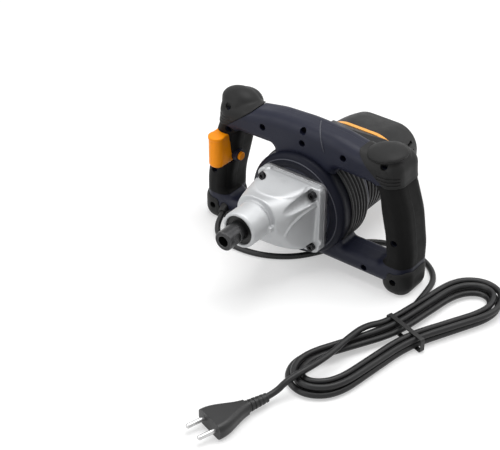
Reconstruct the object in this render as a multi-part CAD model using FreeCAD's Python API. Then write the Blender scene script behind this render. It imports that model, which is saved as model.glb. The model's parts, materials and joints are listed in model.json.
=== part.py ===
import FreeCAD, Part
import math
import os

from FreeCAD import Vector

os.makedirs("parts", exist_ok=True)

# Sizes are in millimetres. The motor axis runs along Y through x = 0, z = 0 and the spindle points to -Y.
# Every solid is moved at the end, so that the origin lies on the floor under the middle of the tool.

# Height of the motor axis above the floor
AXIS_HEIGHT = 69.0

# Fits and gaps
SHAFT_FIT = 0.02
RUN_FIT = 0.04
SLIDE_GAP = 0.15
SEAM_GAP = 0.3
TRIGGER_GAP = 0.4

# Stations along the motor axis
SPINDLE_TIP_Y = -132.0
NOSE_FACE_Y = -108.0
CASE_FRONT_Y = -78.0
FLANGE_FRONT_Y = -24.0
FLANGE_BACK_Y = -15.0
GEAR_PLATE_BACK_Y = -7.5
HOUSING_TAPER_Y = 80.0
HOUSING_BACK_Y = 107.7
CAP_FRONT_Y = 113.0
CAP_BACK_Y = 162.0

# Handle frame: bars, grips and collar
BAR_FRONT_Y = -2.0
BAR_BACK_Y = 34.0
GRIP_FRONT_Y = 0.0
GRIP_BACK_Y = 46.0
COLLAR_FRONT_Y = -10.8
COLLAR_BACK_Y = 45.0
FRAME_SPLIT_Y = 19.0
FRAME_WALL = 3.2
BAR_EDGE_R = 12.5
OPENING_EDGE_R = 9.0
GRIP_EDGE_R = 13.2
GRIP_END_R = 14.2
COLLAR_EDGE_R = 7.0
NECK_FILLET_R = 5.0
COLLAR_R = 58.0
COLLAR_BLIND_R = 60.5
TOP_BAR_Z = 91.5
SHOULDER_Z = 85.0
BOTTOM_BAR_Z = -61.0
OPENING_TOP_Z = 54.0
OPENING_BOTTOM_Z = -37.5
NECK_HALF = 38.0
BAR_INSET_X = 1.6
HOLE_IN_GRIP = 4.0

# Right grip: sides of its outline from top to bottom as x, z and corner radius
GRIP_OUTER = ((113.5, SHOULDER_Z, GRIP_END_R), (115.5, 58.0, 25.0), (127.5, 22.0, 110.0),
              (133.5, -18.0, 100.0), (133.5, BOTTOM_BAR_Z, GRIP_END_R))
GRIP_INNER = ((83.0, SHOULDER_Z, GRIP_END_R), (93.8, 22.0, 110.0), (103.2, -18.0, 100.0),
              (104.0, BOTTOM_BAR_Z, GRIP_END_R))

# Soft covers on the grips
COVER_THICK = 1.5
COVER_BOTTOM_Z = -35.0
COVER_SLANT = ((78.0, COVER_BOTTOM_Z), (84.0, 30.0))
COVER_TOP_X = 92.0

# Top corner pads and foot knobs
PAD_X0 = 75.0
PAD_X1 = 113.8
PAD_FRONT_Y = -1.5
PAD_BACK_Y = 45.0
PAD_TOP_Z = 91.5
PAD_DEPTH_Z = 40.0
PAD_R = 18.0
PAD_PROUD = 1.2
PAD_SLANT = ((64.0, 86.0), (100.0, 57.0))
PAD_EDGE_R = 12.0
PAD_RIB_COUNT = 3
PAD_RIB_PITCH = 3.6
PAD_RIB_WIDE = 1.4
PAD_RIB_FIRST_Z = 60.0
KNOB_X0 = 101.0
KNOB_X1 = 135.5
KNOB_FRONT_Y = -3.0
KNOB_BACK_Y = 46.0
KNOB_TOP_Z = -32.0
KNOB_R = 15.0
KNOB_FOOT_CUT = 4.0

# Handle screws
SCREW_SPOTS = (
    (-98.5, 79.5), (98.5, 79.5), (-51.0, 72.0), (51.0, 72.0), (0.0, 84.5), (0.0, 71.0), (-97.0, 53.0),
    (-117.0, -5.0), (117.0, -5.0), (-119.5, -52.5), (119.5, -52.5), (-83.0, -50.0), (83.0, -50.0),
)
SCREW_HEAD_R = 3.4
SCREW_HEAD_LONG = 3.0
SCREW_SHANK_R = 2.0
SCREW_SHANK_LONG = 21.0
SCREW_SEAT_Y = 9.0
SCREW_WELL_R = 3.8
SCREW_BOSS_R = 5.6
PILOT_BOSS_R = 4.6

# Trigger and lock button on the left grip
TRIGGER_X0 = -115.5
TRIGGER_X1 = -98.0
TRIGGER_Z0 = 8.0
TRIGGER_Z1 = 46.0
TRIGGER_FRONT_Y = -18.0
TRIGGER_R = 8.0
TRIGGER_FOOT_R = 4.0
TRIGGER_TOP_R = 1.2
TRIGGER_SHELF = 4.2
TRIGGER_SHELF_PROUD = 0.7
TRIGGER_SHELF_LONG = 11.0
TRIGGER_TRAVEL = 6.0
TRIGGER_RIM = 1.4
TRIGGER_RIM_HALF_X = 5.5
TRIGGER_RIM_THICK = 2.6
TRIGGER_BACK_Y = 8.0
PLUNGER_R = 3.0
PLUNGER_LONG = 12.0
SWITCH_X0 = -113.0
SWITCH_X1 = -101.0
SWITCH_Y0 = 15.0
SWITCH_Y1 = 36.0
SWITCH_Z0 = 14.0
SWITCH_Z1 = 42.0
LOCK_Y = 11.5
LOCK_Z = 16.0
LOCK_R = 4.6
LOCK_FACE_X = -88.0
LOCK_RIM = 1.2
LOCK_RIM_THICK = 1.4
LOCK_LIP = 1.5
LOCK_TRAVEL = 3.0
LOCK_BOSS_R = 7.0
LOCK_BOSS_FACE_X = -91.2
LOCK_BOSS_BACK_X = -99.0

# Motor housing
HOUSING_R = 51.0
HOUSING_WALL = 3.0
HOUSING_RIB_COUNT = 5
HOUSING_RIB_PITCH = 6.0
HOUSING_RIB_FIRST_Y = 50.0
HOUSING_RIB_WIDE = 2.6
HOUSING_RIB_DEEP = 1.4

# Rear cap and trim band
CAP_END_HALF_X = 44.0
CAP_END_HALF_Z = 28.5
CAP_FRONT_HALF_Z = 36.5
CAP_CORNER_R = 34.0
CAP_END_CORNER_R = 27.0
CAP_WALL = 3.0
CAP_SCREW_X = 31.5
CAP_SCREW_Z = 16.5
CAP_END_R = 8.0
CAP_SLOT_COUNT = 5
CAP_SLOT_PITCH = 9.0
CAP_SLOT_WIDE = 3.4
CAP_SLOT_Y0 = 118.0
CAP_SLOT_Y1 = 148.0
BAND_PROUD = 0.6

# Motor
STATOR_R = 44.0
STATOR_BORE_R = 25.7
STATOR_Y0 = 34.0
STATOR_Y1 = 82.0
POLE_HALF = 15.0
YOKE_THICK = 8.0
CORE_R = 25.0
CORE_Y0 = 36.0
CORE_Y1 = 80.0
SHAFT_R = 6.0
SHAFT_REAR_R = 5.0
SHAFT_END_R = 4.0
SHAFT_END_Y = 130.0
WINDING_R = 22.0
COMMUTATOR_R = 14.0
COMMUTATOR_Y0 = 94.0
COMMUTATOR_Y1 = 111.0
COMMUTATOR_BARS = 24
FAN_R = 38.0
FAN_Y0 = 5.0
FAN_Y1 = 17.0
FAN_BLADES = 9
BAFFLE_Y = 20.0
BAFFLE_THICK = 2.5
BAFFLE_HOLE_R = 30.0
FRONT_BEARING = (14.0, SHAFT_R, -7.0, 1.0)
REAR_BEARING = (11.0, SHAFT_END_R, 122.0, 129.0)
BRUSH_Y = 103.0
BRUSH_WIDE = 7.0
BRUSH_HIGH = 10.0
BRUSH_LONG = 20.0
BRUSH_PLATE_R = 30.5
HOLDER_WALL = 1.6

# Gear case
FLANGE_HALF = 40.0
FLANGE_CORNER_R = 8.0
HOOD_STATIONS = ((36.5, -37.0, 40.5, 11.0, -22.0), (34.2, -29.0, 41.0, 15.0, -44.0),
                 (29.5, -15.5, 41.5, 19.0, -66.0), (25.0, -5.5, 44.0, 22.0, CASE_FRONT_Y))
PLATEAU_PROUD = 0.9
PLATEAU_R = 27.5
PLATEAU_Y = -38.5
PLATEAU_HALF_X = 25.5
FACET_X = 36.6
FACET_FALL_Y = 0.155
FACET_FALL_Z = 0.06
FACET_Z = 20.0
POCKET_R = 7.0
POCKET_AT = 33.0
FLANGE_LUG_R = 3.2
FLANGE_LUG_THICK = 5.0
FLANGE_LUGS = ((-27.0, 39.5), (37.2, 37.2), (39.5, -25.0))
ROOM_TOP_Z = 36.8
ROOM_CORNER_AT = 38.0
ROOM_CORNER_R = 17.5
DEEP_CORNER_R = 21.0
GEAR_ROOM_HALF_X = 35.0
GEAR_ROOM_BOTTOM_Z = -34.0
BOLT_AT = 32.0
BOLT_R = 2.5
BOLT_HEAD_R = 4.2
BOLT_HEAD_LONG = 4.5
BOLT_LONG = 42.0
NOSE_R = 20.0
NOSE_NECK_R = 18.6
NOSE_NECK_LONG = 3.5
CAVITY_FRONT_Y = -58.0
ROOM_HALF_X = 26.0
ROOM_BOTTOM_Z = -12.0
PLATE_HALF_X = 30.0
PLATE_BOTTOM_Z = -30.0
INNER_PLATE_Y0 = -29.0
INNER_PLATE_Y1 = -23.5

# Gear train
SPINDLE_Z = 20.0
STAGE1_MODULE = 0.8
STAGE1_PINION_TEETH = 8
STAGE1_GEAR_TEETH = 40
STAGE2_MODULE = 1.0
STAGE2_PINION_TEETH = 9
STAGE2_GEAR_TEETH = 30
PROFILE_SHIFT = 0.5
TIP_CUT = 0.25
BACKLASH = 0.16
PRESSURE_ANGLE = math.radians(20.0)
STAGE1_Y0 = -22.5
STAGE1_Y1 = -15.5
STAGE2_Y0 = -46.0
STAGE2_Y1 = -32.0

# Spindle with a female M14 thread
SPINDLE_HEAD_R = 10.5
SPINDLE_R = 7.5
SPINDLE_STUB_R = 5.0
SPINDLE_FLATS = 17.0
THREAD_BORE_R = 6.0
THREAD_LONG = 22.0
NOSE_SEAT_R = 16.0
NOSE_SEAT_Y = -92.0
NOSE_BEARING_LONG = 9.0
SPINDLE_BORE_R = 11.0
REAR_BUSH_R = 7.0
IDLER_R = 4.0
IDLER_REAR_R = 3.0
IDLER_REAR_BEARING_R = 9.5
IDLER_BUSH_R = 6.0
IDLER_BUSH_LONG = 8.0

# Cord, hank and plug
CORD_R = 3.25
GUARD_BACK_R = 7.0
GUARD_FRONT_R = 4.6
GUARD_LONG = 22.0
GUARD_INSIDE = 5.5
HANK_CENTRE = (166.0, -62.0)
HANK_AXIS = math.radians(72.7)
HANK_TURNS = 4
HANK_HALF_LONG = 127.0
HANK_LOBE_HALF = 36.0
HANK_WAIST_HALF = 18.5
HANK_PITCH = 7.3
HANK_LOBE_PITCH = 8.4
HANK_ENTRY = 2.2
HANK_LAYER = 7.1
HANK_LIFT = 1.4
TIE_WIDE = 5.0
TIE_THICK = 0.9
PLUG_LONG = 40.0
PLUG_HALF_WIDE = 18.0
PLUG_HALF_HIGH = 8.4
PLUG_BOOT_LONG = 24.0
PLUG_BOOT_RIBS = 5
PIN_R = 2.4
PIN_LONG = 19.0
PIN_AT = 9.5
PIN_ROOT = 10.0

# Values worked out from the sizes above
SHIFT_Y = -0.5 * (SPINDLE_TIP_Y + CAP_BACK_Y)
FLOOR_Z = -AXIS_HEIGHT
STAGE1_CENTRES = 0.5 * STAGE1_MODULE * (STAGE1_PINION_TEETH + STAGE1_GEAR_TEETH)
STAGE2_CENTRES = 0.5 * STAGE2_MODULE * (STAGE2_PINION_TEETH + STAGE2_GEAR_TEETH)
IDLER_Z = (STAGE1_CENTRES ** 2 - STAGE2_CENTRES ** 2 + SPINDLE_Z ** 2) / (2.0 * SPINDLE_Z)
IDLER_X = math.sqrt(STAGE1_CENTRES ** 2 - IDLER_Z ** 2)
NODES = {}


def keep(name, *solids):
    """Store the solids of one node."""
    NODES[name] = [one for shape in solids for one in shape.Solids]


def cyl_y(radius, y0, y1, x=0.0, z=0.0):
    """Cylinder along Y."""
    return Part.makeCylinder(radius, y1 - y0, Vector(x, y0, z), Vector(0, 1, 0))


def ring_y(outer, inner, y0, y1, x=0.0, z=0.0):
    """Tube along Y."""
    return cyl_y(outer, y0, y1, x, z).cut(cyl_y(inner, y0 - 1.0, y1 + 1.0, x, z))


def box(x0, x1, y0, y1, z0, z1):
    """Box between two corners."""
    return Part.makeBox(x1 - x0, y1 - y0, z1 - z0, Vector(x0, y0, z0))


def round_box(x0, x1, y0, y1, z0, z1, radius):
    """Box with every edge rounded."""
    block = box(x0, x1, y0, y1, z0, z1)
    return block.makeFillet(radius, block.Edges)


def turned_y(profile, x=0.0, z=0.0):
    """Solid turned about a line along Y from points of radius and station."""
    points = [Vector(x + r, y, z) for r, y in profile]
    wire = Part.makePolygon(points + points[:1])
    return Part.Face(wire).revolve(Vector(x, 0, z), Vector(0, 1, 0), 360.0)


def edges_along_y(shape, spots, reach):
    """Straight edges along Y that lie within reach of the listed x, z spots."""
    found = []
    for edge in shape.Edges:
        first, last = edge.Vertexes[0].Point, edge.Vertexes[-1].Point
        if abs(first.x - last.x) + abs(first.z - last.z) > 0.01:
            continue
        if any(math.hypot(first.x - x, first.z - z) < reach for x, z in spots):
            found.append(edge)
    return found


def offset_corners(corners, inset):
    """Move the sides of a clockwise outline inwards and keep its corner arcs concentric."""
    moved = []
    count = len(corners)
    for index, (x, z, radius) in enumerate(corners):
        px, pz, _ = corners[index - 1]
        nx, nz, _ = corners[(index + 1) % count]
        ax, az = x - px, z - pz
        bx, bz = nx - x, nz - z
        la, lb = math.hypot(ax, az), math.hypot(bx, bz)
        n1 = (az / la, -ax / la)
        n2 = (bz / lb, -bx / lb)
        scale = inset / (1.0 + n1[0] * n2[0] + n1[1] * n2[1])
        convex = ax * bz - az * bx < 0.0
        moved.append((x + scale * (n1[0] + n2[0]), z + scale * (n1[1] + n2[1]),
                      radius - inset if convex else radius + inset))
    return moved


def rounded_wire(corners, y):
    """Closed outline in the plane of one station, with a tangent arc at each corner."""
    edges = []
    ends = []
    count = len(corners)
    for index, (x, z, radius) in enumerate(corners):
        here = Vector(x, y, z)
        back = Vector(corners[index - 1][0], y, corners[index - 1][1]) - here
        ahead = Vector(corners[(index + 1) % count][0], y, corners[(index + 1) % count][1]) - here
        back.normalize()
        ahead.normalize()
        half = 0.5 * (math.pi - back.getAngle(ahead))
        reach = radius * math.tan(half)
        middle = back + ahead
        middle.normalize()
        centre = here + middle * (radius / math.cos(half))
        ends.append((here + back * reach, centre - middle * radius, here + ahead * reach))
    for index, (start, middle, stop) in enumerate(ends):
        edges.append(Part.Arc(start, middle, stop).toShape())
        following = ends[(index + 1) % count][0]
        if stop.distanceToPoint(following) > 1e-6:
            edges.append(Part.LineSegment(stop, following).toShape())
    return Part.Wire(edges)


def prism_y(corners, y0, y1):
    """Prism along Y on a rounded outline."""
    return Part.Face(rounded_wire(corners, y0)).extrude(Vector(0, y1 - y0, 0))


def rect_corners(half_x, half_z, radius, x=0.0, z=0.0):
    """Clockwise corners of a rounded rectangle."""
    return [(x - half_x, z + half_z, radius), (x + half_x, z + half_z, radius),
            (x + half_x, z - half_z, radius), (x - half_x, z - half_z, radius)]


def rounded_prism(corners, y0, y1, radius):
    """Prism along Y with its front and back edges rounded."""
    body = prism_y(corners, y0, y1)
    rims = [e for f in body.Faces for e in f.Edges
            if abs(f.CenterOfMass.y - y0) < 1e-6 or abs(f.CenterOfMass.y - y1) < 1e-6]
    return body.makeFillet(radius, rims)


def grip_inner_x(z):
    """Inner side of the right grip at one height."""
    for (x0, z0, _), (x1, z1, _) in zip(GRIP_INNER, GRIP_INNER[1:]):
        if z >= z1:
            return x0 + (x1 - x0) * (z - z0) / (z1 - z0)
    return GRIP_INNER[-1][0]


def frame_bars(inset):
    """Top and bottom bars with the disc that carries the collar."""
    top_x, bottom_x = GRIP_OUTER[0][0], GRIP_OUTER[-1][0]
    right = [(40.0, TOP_BAR_Z - 2.0, 90.0), (72.0, SHOULDER_Z - 1.5, 60.0),
             (top_x - 6.0, SHOULDER_Z - 1.0, 20.0)]
    right += [(x - BAR_INSET_X, z, radius) for x, z, radius in GRIP_OUTER[1:-1]]
    right.append((bottom_x - BAR_INSET_X, BOTTOM_BAR_Z, 20.0))
    left = [(-x, z, radius) for x, z, radius in reversed(right)]
    outline = offset_corners([(0.0, TOP_BAR_Z, 200.0)] + right + left, inset)
    y0, y1 = BAR_FRONT_Y + inset, BAR_BACK_Y - inset
    body = rounded_prism(outline, y0, y1, BAR_EDGE_R - inset)
    hole = [(NECK_HALF, OPENING_TOP_Z, 6.0),
            (grip_inner_x(OPENING_TOP_Z) + HOLE_IN_GRIP, OPENING_TOP_Z - 1.0, 13.0),
            (grip_inner_x(0.0) + HOLE_IN_GRIP, 0.0, 150.0),
            (grip_inner_x(OPENING_BOTTOM_Z) + HOLE_IN_GRIP, OPENING_BOTTOM_Z, 12.0),
            (NECK_HALF, OPENING_BOTTOM_Z, 3.0)]
    hole = offset_corners(hole, -inset)
    radius = COLLAR_R - inset
    neck = NECK_HALF - inset
    floor = OPENING_BOTTOM_Z - inset
    plug = prism_y(hole, y0 - 20.0, y1 + 20.0).cut(cyl_y(radius, y0 - 21.0, y1 + 21.0))
    joints = ((neck, math.sqrt(radius ** 2 - neck ** 2)), (math.sqrt(radius ** 2 - floor ** 2), floor))
    plug = plug.makeFillet(NECK_FILLET_R, edges_along_y(plug, joints, 2.0))
    for cutter in (plug, plug.mirror(Vector(0, 0, 0), Vector(1, 0, 0))):
        body = body.cut(cutter)
        rims = [e for f in body.Faces for e in f.Edges
                if (abs(f.CenterOfMass.y - y0) < 1e-6 or abs(f.CenterOfMass.y - y1) < 1e-6)
                and cutter.distToShape(Part.Vertex(e.CenterOfMass))[0] < 0.5]
        body = body.makeFillet(OPENING_EDGE_R - inset, rims)
    return body


def frame_grip(side, inset):
    """One grip, oval in section, on the left (-1) or right (+1)."""
    corners = list(GRIP_OUTER) + list(reversed(GRIP_INNER))
    grip = rounded_prism(offset_corners(corners, inset), GRIP_FRONT_Y + inset, GRIP_BACK_Y - inset,
                         GRIP_EDGE_R - inset)
    return grip if side > 0 else grip.mirror(Vector(0, 0, 0), Vector(1, 0, 0))


def frame_solid(inset):
    """Handle frame without its bore, with every face moved inwards by the inset."""
    collar = cyl_y(COLLAR_R + 0.6 - inset, COLLAR_FRONT_Y + inset, COLLAR_BACK_Y - inset)
    rims = [e for e in collar.Edges if e.Closed]
    collar = collar.makeFillet(COLLAR_EDGE_R - inset, rims)
    return frame_bars(inset).fuse([frame_grip(-1, inset), frame_grip(1, inset), collar])


def gear_prism(module, teeth, shift, cut, phase, y0, y1, x, z):
    """Spur gear blank with involute flanks drawn as arcs."""
    pitch_r = 0.5 * module * teeth
    base_r = pitch_r * math.cos(PRESSURE_ANGLE)
    tip_r = pitch_r + module * (1.0 + shift - cut)
    root_r = pitch_r - module * (1.25 - shift)
    start_r = max(root_r, base_r * 1.002)
    thick = module * (0.5 * math.pi + 2.0 * shift * math.tan(PRESSURE_ANGLE)) - 0.5 * BACKLASH
    inv0 = math.tan(PRESSURE_ANGLE) - PRESSURE_ANGLE

    def half_angle(radius):
        angle = math.acos(base_r / radius)
        return 0.5 * thick / pitch_r + inv0 - (math.tan(angle) - angle)

    def at(radius, angle):
        return Vector(x + radius * math.cos(angle), y0, z + radius * math.sin(angle))

    mid_r = 0.5 * (start_r + tip_r)
    low, mid, top = half_angle(start_r), half_angle(mid_r), half_angle(tip_r)
    step = 2.0 * math.pi / teeth
    edges = []
    for index in range(teeth):
        a = phase + index * step
        if start_r > root_r + 1e-6:
            edges.append(Part.LineSegment(at(root_r, a - low), at(start_r, a - low)).toShape())
        edges.append(Part.Arc(at(start_r, a - low), at(mid_r, a - mid), at(tip_r, a - top)).toShape())
        edges.append(Part.Arc(at(tip_r, a - top), at(tip_r, a), at(tip_r, a + top)).toShape())
        edges.append(Part.Arc(at(tip_r, a + top), at(mid_r, a + mid), at(start_r, a + low)).toShape())
        if start_r > root_r + 1e-6:
            edges.append(Part.LineSegment(at(start_r, a + low), at(root_r, a + low)).toShape())
        edges.append(Part.Arc(at(root_r, a + low), at(root_r, a + 0.5 * step),
                              at(root_r, a + step - low)).toShape())
    return Part.Face(Part.Wire(edges)).extrude(Vector(0, y1 - y0, 0))


def bearing(outer, inner, y0, y1, x=0.0, z=0.0):
    """Shielded ball bearing, drawn as one ring with a shallow groove in each face."""
    ring = ring_y(outer - SHAFT_FIT, inner + RUN_FIT, y0, y1, x, z)
    mean = 0.5 * (outer + inner)
    wide = 0.22 * (outer - inner)
    ring = ring.cut(ring_y(mean + wide, mean - wide, y0 - 1.0, y0 + 0.5, x, z))
    return ring.cut(ring_y(mean + wide, mean - wide, y1 - 0.5, y1 + 1.0, x, z))


def rounded_route(points, label):
    """Straight runs joined by tangent arcs; returns the wire and prints the least radius."""
    edges = []
    radii = []
    start = points[0]
    for before, here, after in zip(points, points[1:], points[2:]):
        back, ahead = before - here, after - here
        reach = 0.45 * min(back.Length, ahead.Length)
        back.normalize()
        ahead.normalize()
        half = 0.5 * (math.pi - back.getAngle(ahead))
        radius = reach / math.tan(half)
        middle = back + ahead
        middle.normalize()
        centre = here + middle * (radius / math.cos(half))
        into, out = here + back * reach, here + ahead * reach
        edges.append(Part.LineSegment(start, into).toShape())
        edges.append(Part.Arc(into, centre - middle * radius, out).toShape())
        radii.append(radius)
        start = out
    edges.append(Part.LineSegment(start, points[-1]).toShape())
    wire = Part.Wire(edges)
    print(label, "radii", " ".join("%.0f" % r for r in radii), "least %.1f" % min(radii),
          "length %.0f" % wire.Length)
    return wire


def tube(wire, points, label):
    """Round tube on a route, with its volume compared with section times length."""
    circle = Part.Wire(Part.Circle(points[0], points[1] - points[0], CORD_R).toShape())
    solid = wire.makePipeShell([circle], True, False)
    share = solid.Volume / (math.pi * CORD_R ** 2 * wire.Length)
    print(label, "volume share %.4f" % share, "valid", solid.isValid())
    return solid


def least_gap(wire, label):
    """Least clear gap of a tube to itself, measured on points of its route."""
    spots = []
    along = 0.0
    for edge in wire.OrderedEdges:
        count = max(2, int(edge.Length / 2.5))
        pieces = edge.discretize(Number=count + 1)[:-1]
        if pieces and spots and (pieces[0] - spots[-1][1]).Length > edge.Length * 0.9:
            pieces = list(reversed(edge.discretize(Number=count + 1)[1:]))
        for index, point in enumerate(pieces):
            spots.append((along + edge.Length * index / count, point))
        along += edge.Length
    least = 1e9
    for index, (s0, p0) in enumerate(spots):
        for s1, p1 in spots[index + 1:]:
            if s1 - s0 > 30.0:
                least = min(least, (p1 - p0).Length)
    print(label, "least gap to itself %.2f" % (least - 2.0 * CORD_R))


def hex_recess(radius, y0, y1, x, z):
    """Hexagonal recess along Y."""
    points = [Vector(x + radius * math.cos(math.radians(60 * i)), y0,
                     z + radius * math.sin(math.radians(60 * i)))
              for i in range(7)]
    return Part.Face(Part.makePolygon(points)).extrude(Vector(0, y1 - y0, 0))


# Handle frame shells, soft covers, pads and knobs
frame_outer = frame_solid(0.0)
frame_grown = frame_solid(-SEAM_GAP)
cover_inner = frame_solid(COVER_THICK)
cover_bed = frame_solid(COVER_THICK + SEAM_GAP)
pad_outer = frame_solid(-PAD_PROUD)
frame_cavity = frame_solid(FRAME_WALL + 1.0).cut(cyl_y(COLLAR_BLIND_R, -20.0, 80.0))
REACH_X = GRIP_OUTER[-1][0] + 35.0


def side_box(side, x0, x1, y0, y1, z0, z1):
    """Box on the left (-1) or right (+1) of the tool, given for the right."""
    return box(x0, x1, y0, y1, z0, z1) if side > 0 else box(-x1, -x0, y0, y1, z0, z1)


def pad_zone(side, gap):
    """Corner of the frame that a top pad covers."""
    (x0, z0), (x1, z1) = PAD_SLANT
    corners = [(x0 - 2.0, 140.0, 5.0), (REACH_X, 140.0, 5.0), (REACH_X, z1, 5.0), (x1, z1, PAD_EDGE_R),
               (x0, z0, PAD_EDGE_R)]
    zone = prism_y(offset_corners(corners, -gap), -30.0, 90.0)
    return zone if side > 0 else zone.mirror(Vector(0, 0, 0), Vector(1, 0, 0))


def cover_zone(side, gap):
    """Length of a grip that its soft cover wraps, up to the edge of the top pad."""
    top_z = PAD_SLANT[1][1] - SEAM_GAP
    (low_x, low_z), (high_x, high_z) = COVER_SLANT
    corners = [(high_x, high_z, 8.0), (COVER_TOP_X, top_z, 6.0), (REACH_X, top_z, 5.0),
               (REACH_X, low_z, 5.0), (low_x, low_z, 5.0)]
    zone = prism_y(offset_corners(corners, -gap), -30.0, 90.0)
    return zone if side > 0 else zone.mirror(Vector(0, 0, 0), Vector(1, 0, 0))


covers = {}
shell_outer = frame_outer
cover_skin = frame_outer.cut(cover_bed)
for side in (-1, 1):
    covers[side] = frame_outer.cut(cover_inner).common(cover_zone(side, 0.0))
    shell_outer = shell_outer.cut(cover_skin.common(cover_zone(side, SEAM_GAP)))
    shell_outer = shell_outer.cut(cover_skin.common(pad_zone(side, SEAM_GAP)))
plate_way = prism_y(rect_corners(FLANGE_HALF + SEAM_GAP, FLANGE_HALF + SEAM_GAP,
                                 FLANGE_CORNER_R + SEAM_GAP),
                    -60.0, GEAR_PLATE_BACK_Y + 0.1)
housing_bore = cyl_y(HOUSING_R + SEAM_GAP, GEAR_PLATE_BACK_Y, 80.0).fuse(plate_way)
shell_body = shell_outer.cut(frame_cavity).cut(housing_bore)
front_half = box(-REACH_X, REACH_X, -60.0, FRAME_SPLIT_Y, -120.0, 140.0)
rear_half = box(-REACH_X, REACH_X, FRAME_SPLIT_Y, 100.0, -120.0, 140.0)
front_shell = shell_body.common(front_half)
rear_shell = shell_body.common(rear_half)

front_bosses = []
rear_bosses = []
wells = []
pilots = []
screws = []
for x, z in SCREW_SPOTS:
    front_bosses.append(cyl_y(SCREW_BOSS_R, GRIP_FRONT_Y - 8.0, FRAME_SPLIT_Y, x, z))
    rear_bosses.append(cyl_y(PILOT_BOSS_R, FRAME_SPLIT_Y, GRIP_BACK_Y + 8.0, x, z))
    wells.append(cyl_y(SCREW_WELL_R, -30.0, SCREW_SEAT_Y, x, z))
    wells.append(cyl_y(SCREW_SHANK_R + SLIDE_GAP, -30.0, FRAME_SPLIT_Y + 1.0, x, z))
    pilots.append(cyl_y(SCREW_SHANK_R + SHAFT_FIT, FRAME_SPLIT_Y - 1.0,
                        SCREW_SEAT_Y + SCREW_SHANK_LONG + 1.0, x, z))
    screw = cyl_y(SCREW_HEAD_R, SCREW_SEAT_Y - SCREW_HEAD_LONG, SCREW_SEAT_Y, x, z)
    screw = screw.fuse(cyl_y(SCREW_SHANK_R, SCREW_SEAT_Y - 0.5, SCREW_SEAT_Y + SCREW_SHANK_LONG, x, z))
    screws.append(screw.cut(hex_recess(1.8, SCREW_SEAT_Y - SCREW_HEAD_LONG - 1.0, SCREW_SEAT_Y - 1.2, x,
                                       z)))
inside = shell_outer.cut(housing_bore)
front_shell = front_shell.fuse(Part.makeCompound(front_bosses).common(inside).Solids)
rear_shell = rear_shell.fuse(Part.makeCompound(rear_bosses).common(inside).Solids)

# Trigger, its plunger and the switch in the left grip
def trigger_block(grow, y1, z0, foot_r):
    """Column with a round front, open at its back, that stands from one height to the trigger's top."""
    block = box(TRIGGER_X0 - grow, TRIGGER_X1 + grow, TRIGGER_FRONT_Y - grow, y1, z0, TRIGGER_Z1)
    uprights = [e for e in block.Edges if e.BoundBox.ZLength > 1.0
                and abs(e.CenterOfMass.y - TRIGGER_FRONT_Y + grow) < 1e-6]
    block = block.makeFillet(TRIGGER_R + grow, uprights)
    rims = ((z0, foot_r), (TRIGGER_Z1, TRIGGER_TOP_R))
    for level, radius in rims:
        edges = [e for e in block.Edges if abs(e.CenterOfMass.z - level) < 1e-6 and e.BoundBox.ZLength < 1e-6
                 and abs(e.CenterOfMass.y - y1) > 1e-6]
        block = block.makeFillet(radius, edges)
    return block


trigger = trigger_block(0.0, TRIGGER_BACK_Y, TRIGGER_Z0, TRIGGER_FOOT_R)
shelf = trigger_block(TRIGGER_SHELF_PROUD, TRIGGER_FRONT_Y + TRIGGER_SHELF_LONG,
                      TRIGGER_Z1 - TRIGGER_SHELF, 1.0)
rim_front_y = TRIGGER_BACK_Y - TRIGGER_RIM_THICK
trigger_half_x = 0.5 * (TRIGGER_X1 - TRIGGER_X0)
trigger_half_z = 0.5 * (TRIGGER_Z1 - TRIGGER_Z0)
trigger_at = (0.5 * (TRIGGER_X0 + TRIGGER_X1), 0.5 * (TRIGGER_Z0 + TRIGGER_Z1))
rim = prism_y(rect_corners(TRIGGER_RIM_HALF_X, trigger_half_z + TRIGGER_RIM, TRIGGER_TOP_R, *trigger_at),
              rim_front_y, TRIGGER_BACK_Y)
trigger = trigger.fuse([rim, shelf])
slot = prism_y(rect_corners(trigger_half_x + TRIGGER_GAP, trigger_half_z + TRIGGER_GAP,
                            TRIGGER_TOP_R + TRIGGER_GAP, *trigger_at),
               -60.0, TRIGGER_BACK_Y + TRIGGER_TRAVEL + TRIGGER_GAP)
rim_way = prism_y(rect_corners(TRIGGER_RIM_HALF_X + TRIGGER_GAP, trigger_half_z + TRIGGER_RIM + TRIGGER_GAP,
                               TRIGGER_TOP_R + TRIGGER_GAP, *trigger_at),
                  rim_front_y - TRIGGER_GAP, TRIGGER_BACK_Y + TRIGGER_TRAVEL + TRIGGER_GAP)
plunger_x = 0.5 * (SWITCH_X0 + SWITCH_X1)
plunger_z = 0.5 * (TRIGGER_Z0 + TRIGGER_Z1)
plunger = cyl_y(PLUNGER_R, TRIGGER_BACK_Y, TRIGGER_BACK_Y + PLUNGER_LONG, plunger_x, plunger_z)
switch = box(SWITCH_X0, SWITCH_X1, SWITCH_Y0, SWITCH_Y1, SWITCH_Z0, SWITCH_Z1)
switch = switch.cut(cyl_y(PLUNGER_R + SLIDE_GAP, SWITCH_Y0 - 1.0,
                          TRIGGER_BACK_Y + PLUNGER_LONG + TRIGGER_TRAVEL + 1.0, plunger_x, plunger_z))
keep("trigger", trigger)
keep("switch_plunger", plunger)

# Lock button on the inner side of the left grip
lock_lip_x = LOCK_BOSS_FACE_X - LOCK_LIP
lock_back_x = lock_lip_x - SEAM_GAP - LOCK_RIM_THICK


def cyl_x(radius, x0, x1):
    """Cylinder along X on the line of the lock button."""
    return Part.makeCylinder(radius, x1 - x0, Vector(x0, LOCK_Y, LOCK_Z), Vector(1, 0, 0))


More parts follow.
